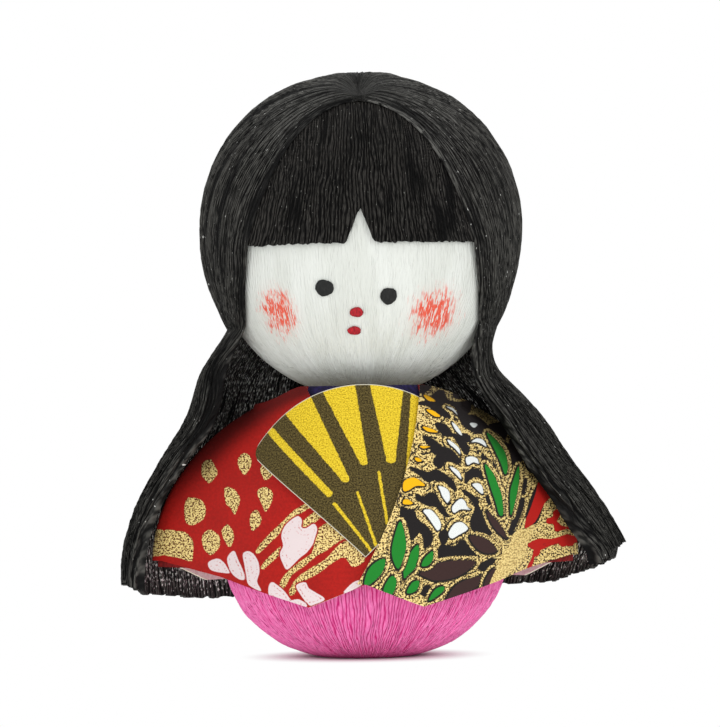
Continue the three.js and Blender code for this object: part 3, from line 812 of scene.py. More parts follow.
hemLine = [  # height of the hem from the left front edge, round the back, to the right one
    [-1, 8.6], [-0.93, 9.3], [-0.86, 9.9], [-0.78, 9], [-0.7, 8.1], [-0.6, 7.5], [-0.5, 7], [0, 7],
    [0.3, 7.8], [0.37, 7.9], [0.455, 8.4], [0.52, 9.4], [0.6, 10.7], [0.7, 12.5], [0.78, 13.5],
    [0.86, 13], [0.93, 11.9], [1, 10.9],
]
hair["neckZ"] = head["height"] + hair["radius"] * math.sin(math.radians(hair["neckPitch"]))
fringeCut = {
    "pitch": 1.5, "reach": 54, "notchPitch": 15.3, "notchHalf": 5.2, "notchTurn": 0.3, "tilt": 0.006,
    "torn": 0.42, "tears": ((0.6, 1.6, 4), (0.9, 0.62, 8)), "bulk": 1.5, "columns": 409, "rows": 61,
}


def direction(turn, pitch):  # turn is measured from the back, in degrees
    turn, pitch = np.radians(turn), np.radians(pitch)
    return stack(np.cos(pitch) * np.sin(turn), np.cos(pitch) * np.cos(turn), np.sin(pitch))


def bentLine(corners, along):  # a cubic curve on the unit ball
    rest = 1 - along
    weights = [rest ** 3, 3 * rest ** 2 * along, 3 * rest * along ** 2, along ** 3]
    total = sum(weight[..., None] * corner for weight, corner in zip(weights, corners))
    return total / np.linalg.norm(total, axis=-1, keepdims=True)


def onHead(line, reach):
    return line * reach[..., None] + np.array([0, 0, head["height"]])


def fringeBulk(pitch):  # the fringe lies on more and more paper up to the crown
    return fringeCut["bulk"] * smooth(pitch, 12, hair["crownPitch"])


def makeFringe():
    turns = np.linspace(-fringeCut["reach"], fringeCut["reach"], fringeCut["columns"])
    alongs = np.linspace(0, 1, fringeCut["rows"]) ** 1.15

    def edgeAt(turn):
        notch = np.maximum(0, 1 - np.abs(turn + fringeCut["notchTurn"]) / fringeCut["notchHalf"])
        straight = fringeCut["pitch"] + fringeCut["tilt"] * turn
        notched = straight + (fringeCut["notchPitch"] - fringeCut["pitch"]) * notch
        return notched + ragged(turn, fringeCut["tears"]) * fringeCut["torn"]

    def pointAt(turn, along, face):
        line = bentLine([
            direction(180 - turn, edgeAt(turn)),
            direction(180 - turn, 25),
            direction(180 - 0.85 * turn, 55),
            direction(np.full_like(turn, 180), hair["crownPitch"]),
        ], along)
        pitch = np.degrees(np.arcsin(line[..., 2]))
        reach = head["radius"] + paper["gap"] + fringeBulk(pitch) + face * paper["fringeCrepe"]
        return onHead(line, reach)

    def looseAt(turn, along, points):
        return np.minimum(1, 3.2 * (1 - along)) * smooth(along, -0.02, 0.05)

    def paperAt(turn, along, points):  # the strands fall nearly straight down
        x, z = points[..., 0], points[..., 2]
        around = head["radius"] * np.arcsin(np.clip(x / (head["radius"] + 2.5), -1, 1))
        return stack(around * (1 + 0.022 * np.maximum(0, z - head["height"])), z * 1.2, 0)

    mesh = sheetMesh("hair_fringe", turns, alongs, pointAt, fields={"paper": paperAt, "loose": looseAt})
    material = crepeMaterial("fringe_crepe")
    finishCrepe("black_fringe", "hair_fringe", mesh, material, fringeCrepe)


def hairOnHead(side, along):
    middle = 1 - side ** 2
    line = bentLine([
        direction(np.full_like(side, 180), hair["crownPitch"]),
        *[direction(turn * side, pitch + rise * middle) for turn, pitch, rise in hair["pulls"]],
        direction(hair["neckTurn"] * side, hair["neckPitch"]),
    ], along)
    pitch = np.degrees(np.arcsin(np.clip(line[..., 2], -1, 1)))
    full = hair["fullness"] * smooth(pitch, *hair["fullPitch"])
    turnedBack = np.maximum(0, line[..., 1]) / np.cos(np.radians(pitch))
    fall = hair["fall"] * turnedBack ** 2 * smooth(-pitch, 0, -hair["neckPitch"])
    reach = hair["radius"] + full + fall
    under = head["radius"] + paper["gap"] + paper["fringeCrepe"] * smooth(pitch, *hair["overFringe"])
    under = under + fringeBulk(pitch)
    spare = np.maximum(0, reach - paper["hairCrepe"] - under - hair["clear"])
    tuck = np.maximum(smooth(np.abs(side), *hair["tuckSide"]), 1 - smooth(along, 0.0, hair["tuckTop"]))
    return line, reach - spare * tuck


def frontRoll(side):  # the folded front edge is round
    t = np.clip((np.abs(side) - hair["rollFrom"]) / hair["rollWidth"], 0, 1)
    return np.sqrt(1 - 0.985 * t ** 2)


# The front edges are folded into thick locks whose strands twist below the neck
def lockShape(side, fall):
    rolled = smooth(np.abs(side), *hair["lockSide"]) * smooth(fall, *hair["lockStart"])
    strand = np.abs(side) * hair["halfWidth"] + hair["lockTwist"] * fall
    turn = math.pi * strand / hair["ropePitch"] + wobble(fall * 6 + side * 3, 1.0, 51)
    rope = hair["ropeDepth"] * np.abs(np.sin(turn))
    return (hair["lockThickness"] - hair["ropeBase"] + rope) * rolled


def hairCurtain(side, z, face):
    flat = math.cos(math.radians(hair["neckPitch"]))
    fall = (hair["neckZ"] - z) / (hair["neckZ"] - hair["lowest"])
    at = {name: curveAt(line, fall) for name, line in hairLines.items()}
    leftSide = side < 0
    spread = np.where(leftSide, at["spreadLeft"], at["spreadRight"])
    tipSpread = np.where(leftSide, hair["tipSpreadLeft"], hair["tipSpreadRight"])
    lockEnd = np.where(leftSide, at["lockEndLeft"], at["lockEndRight"])
    overRobe = layer + paper["washi"] + paper["gap"] + paper["hairCrepe"]
    ring = hair["radius"] * flat
    half = np.maximum(lerp(ring, wing["span"] + tipSpread, spread), robeHalfWidth(z, overRobe))
    backStart = (hair["radius"] + hair["fall"]) * flat
    back = lerp(backStart, robe["belt"] + hair["backSpread"], at["spreadBack"])
    back = np.maximum(back, robeRadius(z) + overRobe)
    front = lerp(ring, hair["frontDepth"], at["spreadFront"])
    turn = np.radians(side * lockEnd)
    loose = smooth(fall, *hair["looseFall"]) * (1 - side ** 6)
    flute = hair["fluteDepth"] * loose * np.cos(2 * math.pi * hair["flutes"] * side)
    pleats = hair["pleatDepth"] * loose * np.cos(2 * math.pi * hair["pleats"] * side)
    thick = paper["hairCrepe"] + lockShape(side, fall)
    out = flute + pleats - paper["hairCrepe"] + face * thick * frontRoll(side)
    depth = np.where(np.cos(turn) > 0, back, front)
    return stack((half + out) * np.sin(turn), (depth + out) * np.cos(turn), z)


def makeMantle():
    sides = np.linspace(-1, 1, hair["columns"])
    rows = np.concatenate([np.linspace(0, 1, hair["rows"]) ** 0.9, np.linspace(1, 2, hair["rows"])[1:]])

    def pointAt(side, row, face):
        line, reach = hairOnHead(side, np.minimum(row, 1))
        onBall = onHead(line, reach + (face * frontRoll(side) - 1) * paper["hairCrepe"])
        hem = curveAt(hemLine, side) + ragged(side, hair["tears"])
        z = lerp(hair["neckZ"], hem, np.maximum(row, 1) - 1)
        hanging = hairCurtain(side, z, face)
        return np.where((row > 1)[..., None], hanging, onBall)

    def looseAt(side, row, points):
        crown = smooth(row, 0, 0.45)
        neck = 1 - 0.45 * np.exp(-((row - 1.02) / 0.08) ** 2)
        return crown * neck * frontRoll(side) * (1 - 0.3 * smooth(row, 1.9, 2.0))

    def paperAt(side, row, points):
        hanging = hair["headLength"] + (row - 1) * hair["hangLength"]
        along = np.where(row <= 1, row * hair["headLength"], hanging)
        finer = hair["edgeFiner"] * np.sign(side) * smooth(np.abs(side), *hair["edgeSide"])
        hung = np.maximum(row, 1) - 1
        twist = hair["edgeTwist"] * np.sign(side) * smooth(np.abs(side), *hair["twistSide"]) * hung
        wider = hair["hemWider"] * smooth(row, 1.2, 2) - hair["crownNarrower"] * (1 - smooth(row, 0, 0.6))
        across = side * hair["halfWidth"] * (1 + wider * (1 - side ** 4)) + finer + twist
        return stack(across, along, 1 - smooth(row, 0.1, 0.55))

    mesh = sheetMesh("hair_mantle", sides, rows, pointAt, every=(2, 2), innerLoose=0.3,
                     fields={"paper": paperAt, "loose": looseAt})
    finishCrepe("long_hair", "hair_mantle", mesh, crepeMaterial("hair_crepe"), hairCrepe)


# Prints: each motif is a signed distance in mm on the sheet, negative inside, kept as a
# point attribute for each ink, so that the material can draw a crisp edge at any size

class Print:
    def __init__(self, x, z, inks):
        self.x, self.z = x, z
        self.inks = {ink: np.full(np.shape(x), 9.0) for ink in inks}

    def draw(self, ink, shape):
        self.inks[ink] = np.minimum(self.inks[ink], shape)

    def clear(self, shape):
        for ink in self.inks:
            self.inks[ink] = np.maximum(self.inks[ink], -shape)

    def away(self, start, end):  # distance to a straight line, and the share of it that is nearest
        (ax, az), (bx, bz) = start, end
        ex, ez = bx - ax, bz - az
        t = np.clip(((self.x - ax) * ex + (self.z - az) * ez) / (ex ** 2 + ez ** 2), 0, 1)
        return np.hypot(self.x - ax - t * ex, self.z - az - t * ez), t

    def stroke(self, start, end, startWidth, endWidth):
        distance, share = self.away(start, end)
        return distance - lerp(startWidth, endWidth, share)

    def polygon(self, corners):
        best = np.full(np.shape(self.x), 99.0)
        inside = np.zeros(np.shape(self.x), bool)
        for start, end in zip(corners, corners[1:] + corners[:1]):
            best = np.minimum(best, self.away(start, end)[0])
            (ax, az), (bx, bz) = start, end
            if bz != az:
                crossing = (bx - ax) * (self.z - az) / (bz - az) + ax
                inside ^= ((az > self.z) != (bz > self.z)) & (self.x < crossing)
        return np.where(inside, -best, best)

    def motif(self, corners, shiftX=0, shiftZ=0):
        return self.polygon(rounded([(x + shiftX, z + shiftZ) for x, z in corners]))


# Outlines of the motifs, in mm on the sheets
blackPrint = {
    "islands": [
        [(7.5, 26.6), (8.4, 26.4), (9.3, 25.6), (10.3, 25.3), (11.4, 24.0), (11.1, 23.7), (9.7, 24.0),
         (9.1, 23.2), (8.3, 23.8), (8.7, 24.6), (8.7, 25.4)],
        [(5.5, 23.3), (7.5, 22.6), (8.5, 22.9), (9.6, 22.3), (10.5, 21.5), (10.9, 20.5), (10.3, 20.9),
         (9.5, 21.6), (8.3, 21.8), (7.6, 21.6), (6.6, 22.4)],
        [(6.1, 20.1), (7.0, 19.7), (7.7, 20.2), (8.4, 19.9), (8.8, 19.2), (9.6, 17.9), (9.8, 17.4),
         (9.1, 17.9), (8.5, 18.7), (7.6, 18.8), (6.5, 19.4)],
        [(4.3, 18.5), (5.2, 18.2), (5.8, 18.1), (6.2, 17.1), (7.4, 16.1), (7.9, 15.0), (7.7, 14.3),
         (7.1, 13.9), (7.0, 14.7), (6.5, 15.8), (5.6, 14.9), (5.0, 15.2), (4.4, 16.5)],
        [(11.7, 20.4), (12.8, 19.8), (13.5, 19.1), (13.5, 18.5), (14.1, 17.4), (15.0, 15.2), (14.2, 15.3),
         (12.8, 15.8), (12.7, 17.0), (13.2, 18.0), (13.1, 18.9)],
        [(12.1, 21.3), (12.2, 22.4), (13.1, 22.8), (14.0, 22.5), (14.2, 21.8), (13.4, 22.0), (12.7, 21.9)],
        [(13.7, 25.0), (14.6, 24.7), (15.4, 23.9), (15.8, 22.9), (15.4, 23.1), (14.8, 23.9)],
        [(8.7, 13.5), (9.1, 14.0), (10.6, 13.8), (11.5, 14.5), (12.3, 13.8), (13.0, 12.8), (10.6, 12.8),
         (9.1, 12.4), (8.6, 12.3)],
        [(13.4, 11.4), (14.3, 11.9), (15.4, 12.1), (15.0, 11.5), (14.1, 10.9)],
        [(8.7, 28.4), (9.8, 28.2), (10.4, 27.3), (10.8, 27.0), (9.8, 27.0), (9.0, 27.7)],
        [(7.1, 26.9), (7.9, 26.6), (8.3, 26.0), (8.7, 25.4), (8.6, 24.8), (8.1, 25.2), (7.7, 26.0)],
        [(10.8, 27.1), (11.8, 26.5), (12.6, 25.3), (12.2, 24.7), (11.8, 25.3), (11.2, 26.2)],
        [(7.5, 30.9), (8.6, 30.7), (9.8, 29.9), (10.4, 29.1), (9.5, 29.4), (8.3, 30.2)],
        [(11.3, 29.8), (12.6, 29.3), (13.8, 29.0), (15.1, 27.9), (15.0, 27.2), (13.8, 27.2), (12.6, 27.7),
         (11.9, 28.4)],
        [(17.2, 25.8), (18.2, 24.9), (19.1, 23.7), (18.2, 23.2), (17.6, 23.9)],
        [(11.8, 27.1), (12.7, 26.8), (12.6, 26.2), (12.1, 26.4)],
        [(10.1, 9.9), (10.8, 10.2), (10.5, 9.2), (9.8, 8.0), (9.3, 7.7), (9.7, 8.9)],
        [(6.8, 9.2), (7.6, 9.1), (7.1, 8.2), (6.5, 8.5)],
        [(14.6, 19.6), (15.0, 19.3), (15.2, 18.7), (14.8, 18.8)],
        [(8.8, 15.4), (9.6, 15.7), (9.6, 14.5), (9.1, 14.3)],
        [(13.0, 16.6), (13.6, 16.2), (13.8, 15.7), (13.2, 15.9)],
    ],
    "snow": [
        [(10.0, 30.4), (10.6, 30.3), (11.0, 30.0), (11.3, 29.4), (10.8, 29.9)],
        [(10.6, 28.5), (11.1, 28.2), (11.6, 27.5), (11.8, 26.9), (11.1, 27.5)],
        [(10.0, 26.5), (10.7, 26.1), (11.4, 25.4), (11.5, 24.7), (10.9, 25.4), (10.3, 25.9)],
        [(12.2, 24.2), (12.9, 24.4), (13.6, 24.1), (13.8, 23.5), (13.1, 23.7), (12.4, 23.4)],
        [(12.9, 26.1), (13.6, 26.5), (14.4, 26.3), (14.8, 25.5), (14.1, 25.9), (13.5, 26.1)],
        [(10.2, 23.3), (10.9, 23.0), (11.4, 22.5), (11.6, 21.7), (11.0, 22.3), (10.5, 22.8)],
        [(8.8, 21.0), (9.6, 20.8), (10.1, 20.2), (10.1, 19.2), (9.9, 18.9), (9.3, 19.7), (9.0, 20.5)],
        [(10.4, 18.5), (11.3, 19.4), (11.9, 19.2), (12.2, 18.5), (12.6, 18.1), (11.4, 18.2), (10.6, 17.8)],
        [(6.9, 18.2), (7.7, 18.3), (8.3, 17.8), (8.8, 17.1), (9.0, 16.3), (8.6, 15.8), (8.0, 16.6),
         (7.4, 17.5)],
        [(10.0, 15.7), (10.6, 16.5), (11.4, 16.7), (12.0, 16.3), (12.2, 15.8), (11.1, 15.2), (10.3, 14.8),
         (9.9, 15.2)],
        [(12.9, 21.1), (13.6, 21.2), (14.1, 20.8), (14.2, 19.9), (13.7, 20.2), (13.2, 20.7)],
        [(12.8, 28.3), (13.2, 28.4), (13.8, 28.2), (13.3, 27.8)],
    ],
    "amber": [
        [(7.2, 31.9), (7.9, 31.7), (8.7, 31.1), (7.8, 31.2)],
        [(7.5, 30.1), (8.3, 30.0), (9.2, 29.3), (8.5, 29.3)],
        [(7.0, 28.1), (7.9, 27.9), (8.9, 27.4), (7.7, 27.5)],
        [(6.6, 25.8), (7.1, 25.8), (7.9, 25.7), (7.1, 25.5)],
        [(6.0, 24.4), (6.5, 24.4), (6.9, 24.0), (6.3, 24.0)],
        [(4.7, 21.7), (5.8, 22.1), (6.6, 21.7), (7.2, 21.1), (6.1, 21.1), (5.2, 20.6), (4.6, 20.6)],
        [(4.6, 19.5), (5.2, 19.5), (5.7, 19.0), (4.6, 19.0)],
    ],
    "green": [
        [(14.9, 27.1), (15.8, 26.5), (16.7, 25.4), (17.2, 24.5), (17.4, 22.9), (17.0, 22.1), (16.5, 23.5),
         (15.7, 25.3)],
        [(14.5, 23.4), (15.5, 22.3), (16.1, 20.8), (16.5, 19.5), (16.6, 17.4), (16.1, 17.4), (15.7, 18.9),
         (15.1, 20.8)],
        [(18.8, 23.0), (18.8, 21.5), (18.4, 19.6), (17.6, 17.2), (17.5, 18.4), (17.6, 20.1), (18.1, 21.5)],
        [(6.2, 14.2), (6.3, 13.1), (5.9, 11.6), (4.9, 10.6), (4.5, 10.3), (4.5, 12.1), (5.3, 13.3)],
        [(8.0, 13.4), (7.9, 12.3), (7.3, 11.7), (6.6, 11.7), (6.9, 12.5), (7.5, 13.1)],
        [(5.5, 9.8), (6.3, 9.9), (6.0, 8.9), (5.2, 8.5), (4.8, 8.7)],
        [(9.2, 9.2), (9.1, 8.6), (7.8, 7.7), (7.4, 7.7), (8.2, 8.9)],
        [(3.8, 11.4), (4.5, 12.8), (4.8, 14.5), (4.2, 17.0), (3.4, 15.1), (3.1, 13.1)],
        [(2.3, 12.6), (1.9, 11.0), (0.4, 9.6), (-0.2, 9.7), (0.2, 11.2), (1.1, 12.2)],
        [(3.0, 10.6), (3.6, 10.0), (3.2, 8.6), (2.2, 8.0), (2.1, 9.2)],
    ],
    "brown": [
        [(14.6, 17.9), (15.4, 17.1), (16.4, 15.8), (17.0, 14.5), (16.0, 15.2), (15.1, 16.4)],
        [(12.4, 15.0), (13.6, 14.9), (14.8, 14.3), (15.7, 13.1), (14.3, 12.9), (13.1, 13.7)],
        [(6.4, 10.8), (7.9, 11.8), (10.6, 12.2), (13.0, 12.0), (12.3, 11.1), (10.6, 10.2), (8.3, 9.9),
         (7.0, 10.4)],
        [(9.4, 7.5), (10.5, 9.1), (12.0, 9.9), (14.0, 10.2), (13.2, 9.0), (11.3, 8.1), (9.6, 7.3)],
        [(15.2, 11.0), (15.6, 10.6), (14.9, 8.9), (14.1, 8.9), (14.3, 9.9)],
    ],
    "dark": [
        [(19.4, 19.2), (19.1, 17.8), (17.9, 15.4), (17.4, 15.2), (17.8, 16.3), (18.5, 17.8), (19.0, 19.0)],
        [(19.6, 21.2), (19.8, 21.1), (19.4, 19.8), (19.2, 20.1)],
        [(14.3, 24.5), (15.1, 23.9), (14.5, 23.6)],
    ],
    "patch": [
        [(19.5, 15.5), (20.5, 15.9), (20.2, 14.8), (19.6, 13.6), (19.2, 12.2), (18.3, 11.0), (16.6, 9.9),
         (14.7, 8.7), (15.0, 9.9), (15.9, 11.5), (16.5, 12.8), (17.3, 13.7), (17.7, 14.9), (18.6, 15.4)],
    ],
    "red": [
        [(21.2, 21.0), (22.1, 20.7), (22.8, 19.8), (22.7, 19.1), (21.8, 18.2), (20.7, 16.3), (19.4, 15.5),
         (19.4, 16.4), (20.2, 18.1), (20.9, 19.9)],
        [(19.6, 13.6), (21.0, 14.2), (22.8, 14.1), (25.1, 14.6), (25.1, 13.7), (22.8, 13.3), (21.0, 12.7),
         (20.1, 13.0)],
    ],
}
redPrint = {
    "drops": [
        [(-19.8, 23.7), (-19.3, 24.2), (-18.7, 24.3), (-18.3, 23.8), (-17.8, 22.8), (-18.1, 22.2),
         (-18.8, 21.5), (-19.4, 21.9), (-19.8, 22.5)],
        [(-15.3, 24.2), (-14.9, 24.9), (-14.3, 25.1), (-13.7, 24.6), (-13.6, 23.8), (-14.0, 23.0),
         (-14.4, 22.5), (-15.0, 23.1)],
        [(-12.5, 23.4), (-11.8, 24.1), (-11.0, 23.9), (-10.5, 23.4), (-11.0, 22.6), (-11.8, 21.9),
         (-12.2, 22.3)],
        [(-16.9, 20.9), (-16.0, 20.9), (-15.3, 20.3), (-15.0, 19.5), (-15.3, 18.6), (-15.7, 17.8),
         (-16.2, 18.6), (-16.8, 19.2)],
        [(-12.9, 20.4), (-12.4, 21.0), (-11.8, 21.1), (-11.1, 20.6), (-11.0, 19.9), (-11.3, 19.0),
         (-11.9, 18.2), (-12.3, 19.0)],
        [(-22.0, 18.1), (-21.9, 19.0), (-21.5, 19.7), (-20.7, 19.7), (-19.8, 19.4), (-19.3, 18.5),
         (-19.5, 17.3), (-20.3, 16.7), (-21.1, 16.4), (-21.8, 16.8)],
        [(-13.8, 17.4), (-13.6, 18.0), (-13.0, 18.4), (-12.5, 17.8), (-12.4, 17.1), (-12.8, 16.4),
         (-13.5, 15.9), (-13.8, 16.7)],
        [(-17.3, 15.8), (-16.9, 16.4), (-16.5, 16.6), (-15.9, 15.8), (-15.8, 14.9), (-16.3, 13.9),
         (-17.0, 14.8)],
        [(-19.8, 14.9), (-19.3, 15.7), (-18.6, 15.9), (-17.6, 15.2), (-17.5, 14.3), (-17.8, 13.6),
         (-18.7, 12.9), (-19.5, 13.6)],
    ],
    "patch": [
        [(-24.5, 15.7), (-23.1, 15.7), (-21.8, 15.5), (-20.9, 14.5), (-20.9, 13.4), (-21.1, 12.1),
         (-22.6, 12.4), (-25.0, 12.9), (-24.9, 14.2)],
    ],
    "mist": [
        [(-13.1, 13.6), (-11.8, 15.2), (-9.9, 17.0), (-8.4, 18.4), (-6.3, 19.5), (-5.9, 19.1), (-7.8, 17.9),
         (-9.5, 16.3), (-11.3, 14.6), (-12.7, 13.3)],
        [(-12.5, 11.7), (-11.3, 13.1), (-9.7, 14.4), (-9.4, 13.9), (-10.8, 12.6), (-12.2, 11.4)],
        [(-7.7, 16.8), (-5.5, 18.5), (-4.9, 17.9), (-7.1, 16.2)],
        [(-10.4, 9.3), (-9.7, 10.7), (-7.9, 12.3), (-6.3, 13.5), (-6.0, 15.7), (-4.5, 16.9), (-3.6, 16.7),
         (-2.1, 15.3), (-3.0, 14.8), (-4.7, 13.6), (-5.8, 13.0), (-7.3, 11.8), (-8.8, 10.7), (-9.8, 9.1)],
        [(-9.2, 8.7), (-8.3, 10.3), (-6.5, 11.6), (-4.8, 12.6), (-2.9, 14.5), (-1.5, 14.6), (-0.3, 13.4),
         (-0.2, 12.3), (-1.6, 11.7), (-2.5, 12.8), (-3.9, 12.2), (-5.7, 10.9), (-7.7, 9.8), (-8.6, 8.4)],
    ],
    "petals": [
        [(-10.0, 15.3), (-9.7, 16.3), (-9.0, 17.1), (-8.0, 17.7), (-7.5, 17.2), (-7.6, 16.4), (-7.0, 16.3),
         (-6.1, 16.8), (-5.7, 16.2), (-6.0, 15.1), (-6.3, 14.3), (-7.0, 13.4), (-7.9, 12.7), (-9.3, 11.4),
         (-9.8, 12.0), (-10.2, 13.2), (-9.8, 14.2)],
        [(-19.0, 12.0), (-17.9, 12.5), (-17.1, 12.1), (-16.5, 11.2), (-16.4, 10.8), (-17.9, 10.9),
         (-18.8, 11.2)],
        [(-16.6, 12.7), (-15.8, 13.5), (-15.3, 12.5), (-14.7, 11.2), (-14.5, 10.2), (-15.1, 10.1),
         (-16.0, 10.7), (-16.5, 11.7)],
        [(-14.7, 13.1), (-14.1, 13.5), (-13.4, 13.2), (-12.8, 12.2), (-12.7, 11.0), (-13.0, 9.9),
         (-12.5, 8.8), (-14.0, 9.5), (-14.3, 10.6), (-14.5, 11.8)],
        [(-11.6, 9.3), (-11.2, 9.9), (-10.5, 9.5), (-9.6, 8.7), (-8.8, 7.3), (-10.2, 7.5), (-11.5, 8.2)],
        [(-8.3, 9.5), (-7.2, 9.9), (-6.8, 9.2), (-6.0, 8.7), (-4.9, 7.9), (-6.1, 7.3), (-6.8, 7.2),
         (-7.7, 8.3)],
        [(-9.3, 7.4), (-8.1, 7.9), (-7.0, 7.2), (-7.7, 6.8)],
        [(-2.7, 8.7), (-1.6, 9.8), (-0.7, 10.1), (-0.3, 9.8), (-0.9, 9.3), (-2.4, 8.6)],
    ],
}
blackGround = [
    (-5.4, 30.9), (6.4, 30.7), (8.8, 30.2), (9.8, 30.8), (10.9, 30.3), (11.7, 29.3), (12.6, 28.3),
    (13.2, 28.5), (14.1, 28.1), (14.7, 27.2), (15.3, 27.5), (16.6, 26.7), (17.6, 25.2), (17.9, 23.8),
    (18.6, 23.4), (19.4, 23.6), (19.9, 22.4), (21.3, 21.3), (20.5, 19.9), (19.5, 17.4), (19.3, 15.6),
    (18.0, 14.1), (16.8, 11.9), (15.8, 10.4), (14.8, 8.8), (9.3, 6.4), (1.6, 7.2), (-5.7, 12.2),
]
blackTop = [(-2, 33), (22, 33), (22, 24), (17, 26), (13, 28.5), (9, 31), (5, 31)]
blackTip = [
    (22.6, 19.4), (23.5, 18.6), (24.4, 17.3), (25.0, 15.5), (25.3, 13.0), (25.7, 11.8), (22.4, 11.5),
    (20.9, 10.4), (18.7, 9.8), (16.5, 9.5), (14.7, 8.5), (15.0, 9.9), (15.9, 11.5), (16.5, 12.8),
    (17.3, 13.7), (18.0, 14.6), (19.3, 15.6), (20.9, 16.1), (21.8, 18.1),
]


def mirrored(x, side):  # beyond the tip the print comes back
    return side * np.minimum(side * x, 2 * wing["span"] - side * x)


printEdges = {  # in mm from the edge of a motif, outwards
    "petalClear": 0.16, "seams": ((-0.3, 0.07), (-0.75, 0.05)), "islandClear": 0.14,
    "snowLine": (0.62, 0.1), "snowRim": 0.2, "snowShift": (0.16, 0.14), "snowClear": 0.04,
    "leafDark": 0.64, "leafGold": 0.52, "leafRim": 0.24, "leafShift": (0.2, 0.12), "leafClear": 0.05,
    "veinsIn": 0.4, "patchOut": 0.9,
}
redInks = ["gold", "white", "seam"]
blackInks = ["red", "gold", "plain", "snow", "amber", "green", "brown"]


def paintRed(x, z):
    sheet = Print(mirrored(x, -1), z, redInks)
    for key in ("mist", "drops", "patch"):
        for corners in redPrint[key]:
            sheet.draw("gold", sheet.motif(corners))
    for corners in redPrint["petals"]:
        petal = sheet.motif(corners)
        sheet.clear(petal - printEdges["petalClear"])
        sheet.draw("white", petal)
        for depth, half in printEdges["seams"]:
            sheet.draw("seam", np.abs(petal - depth) - half)
    return sheet.inks


def paintBlack(x, z):
    sheet = Print(mirrored(x, 1), z, blackInks)
    sheet.draw("gold", sheet.motif(blackGround))
    lines = np.abs(blotch(sheet.x, sheet.z * 1.6, 2.3, 61) - 0.5) * 3 - 0.3
    sheet.draw("gold", np.maximum(lines, sheet.polygon(blackTop)))
    for corners in blackPrint["islands"]:
        sheet.clear(sheet.motif(corners) - printEdges["islandClear"])
    breaks = 0.5 - blotch(sheet.x, sheet.z, 0.5, 63)
    line, half = printEdges["snowLine"]
    for ink in ("snow", "amber"):  # a broken dark line round each petal, and a dark rim on one side
        for corners in blackPrint[ink]:
            petal, under = sheet.motif(corners), sheet.motif(corners, *printEdges["snowShift"])
            sheet.clear(np.maximum(np.abs(petal - line) - half, breaks))
            sheet.clear(np.maximum(petal - printEdges["snowRim"], -under))
            sheet.clear(petal - printEdges["snowClear"])
            sheet.draw(ink, petal)
    for ink in ("brown", "dark", "green"):  # leaves in gold outline; the dark ones show the ground
        for corners in blackPrint[ink]:
            leaf, under = sheet.motif(corners), sheet.motif(corners, *printEdges["leafShift"])
            sheet.clear(leaf - printEdges["leafDark"])
            sheet.draw("gold", leaf - printEdges["leafGold"])
            sheet.clear(np.maximum(leaf - printEdges["leafRim"], -under))
            sheet.clear(leaf - printEdges["leafClear"])
            if ink != "dark":
                sheet.draw(ink, leaf)

    def cover(ink, shape):
        sheet.clear(shape)
        sheet.draw(ink, shape)

    tip = sheet.motif(blackTip)
    cover("gold", tip)
    for corners in blackPrint["red"]:
        cover("red", sheet.motif(corners))
    veins = (0.62 - blotch(sheet.x, sheet.z, 0.9, 62)) * 2.0
    patch = sheet.motif(blackPrint["patch"][0])
    veins = np.maximum(np.maximum(tip + printEdges["veinsIn"], veins), printEdges["patchOut"] - patch)
    cover("red", veins)
    cover("gold", patch)
    sheet.draw("plain", patch)
    return sheet.inks


printInks = {
    "red": (178, 28, 22), "black": (32, 28, 28), "white": (226, 211, 211), "snow": (228, 232, 229),
    "amber": (244, 182, 16), "green": (30, 128, 42), "brown": (58, 40, 38), "pink": (204, 128, 126),
    "goldLight": (242, 217, 144), "goldMid": (186, 152, 84), "goldDark": (92, 66, 34),
    "redSpeck": (84, 30, 16), "blackSpeck": (30, 24, 20), "hairShade": (16, 8, 8),
}
inkColours = {name: rgb(colour) for name, colour in printInks.items()}


def goldColour(nodes, where, speck):
    grains = nodes.grain(where, 0.2, 0.2, detail=1.5, roughness=0.6)
    coarse = nodes.grain(where, 0.4, 0.4, 5.0, detail=1)
    amount = 0.8 * grains + 0.2 * coarse
    inks = ((0.425, speck), (0.45, "goldDark"), (0.48, "goldMid"), (0.53, "goldLight"))
    stops = [(position, inkColours[ink]) for position, ink in inks]
    return nodes.add("ShaderNodeValToRGB", {"stops": stops}, [amount]), amount


def washiMaterial(name, ground, inks, speck):
    material, nodes = newMaterial(name)
    where = nodes.field("paper", "Vector")
    fibres = nodes.grain(where, 0.35, 0.35, 2.0, detail=4)
    cloud = nodes.grain(where, 4.0, 4.0, 9.0)
    edge = (nodes.grain(where, 0.16, 0.16, 4.0) - 0.5) * 0.22
    tone = nodes.map(fibres * 0.6 + cloud * 0.4, 0.3, 0.7)
    colour = nodes.blend(tone, rgb(shaded(printInks[ground], 0.86)), inkColours[ground])
    gold, amount = goldColour(nodes, where, speck)
    for ink in inks:
        uneven = edge if ink in ("gold", "plain") else edge * 0.4
        mask, shown = nodes.map(nodes.field(ink) + uneven, 0.05, -0.05), inkColours.get(ink)
        if ink == "gold":
            shown, raised = gold, mask
        elif ink == "plain":
            bright = nodes.map(amount, 0.35, 0.6)
            mask, shown = mask * 0.75, nodes.blend(bright, inkColours["goldMid"], inkColours["goldLight"])
        elif ink == "seam":
            dashes = nodes.grain(where, 0.22, 0.22, 8.0, detail=1)
            mask, shown = mask * nodes.map(dashes, 0.5, 0.6), inkColours["pink"]
        colour = nodes.blend(mask, colour, shown)
    # painted shade: the sleeves are drawn darker where the hair hangs over them
    colour = nodes.blend(nodes.field("shade") * 0.75, colour, inkColours["hairShade"])
    normal = bump(nodes, fibres * 0.5 + raised * 0.5 + amount * raised, 0.04)
    rough = nodes.map(raised, 0.0, 1.0, 0.72, 0.5)
    finishMaterial(nodes, colour, rough, normal, 0.15, raised * 0.1)
    return material


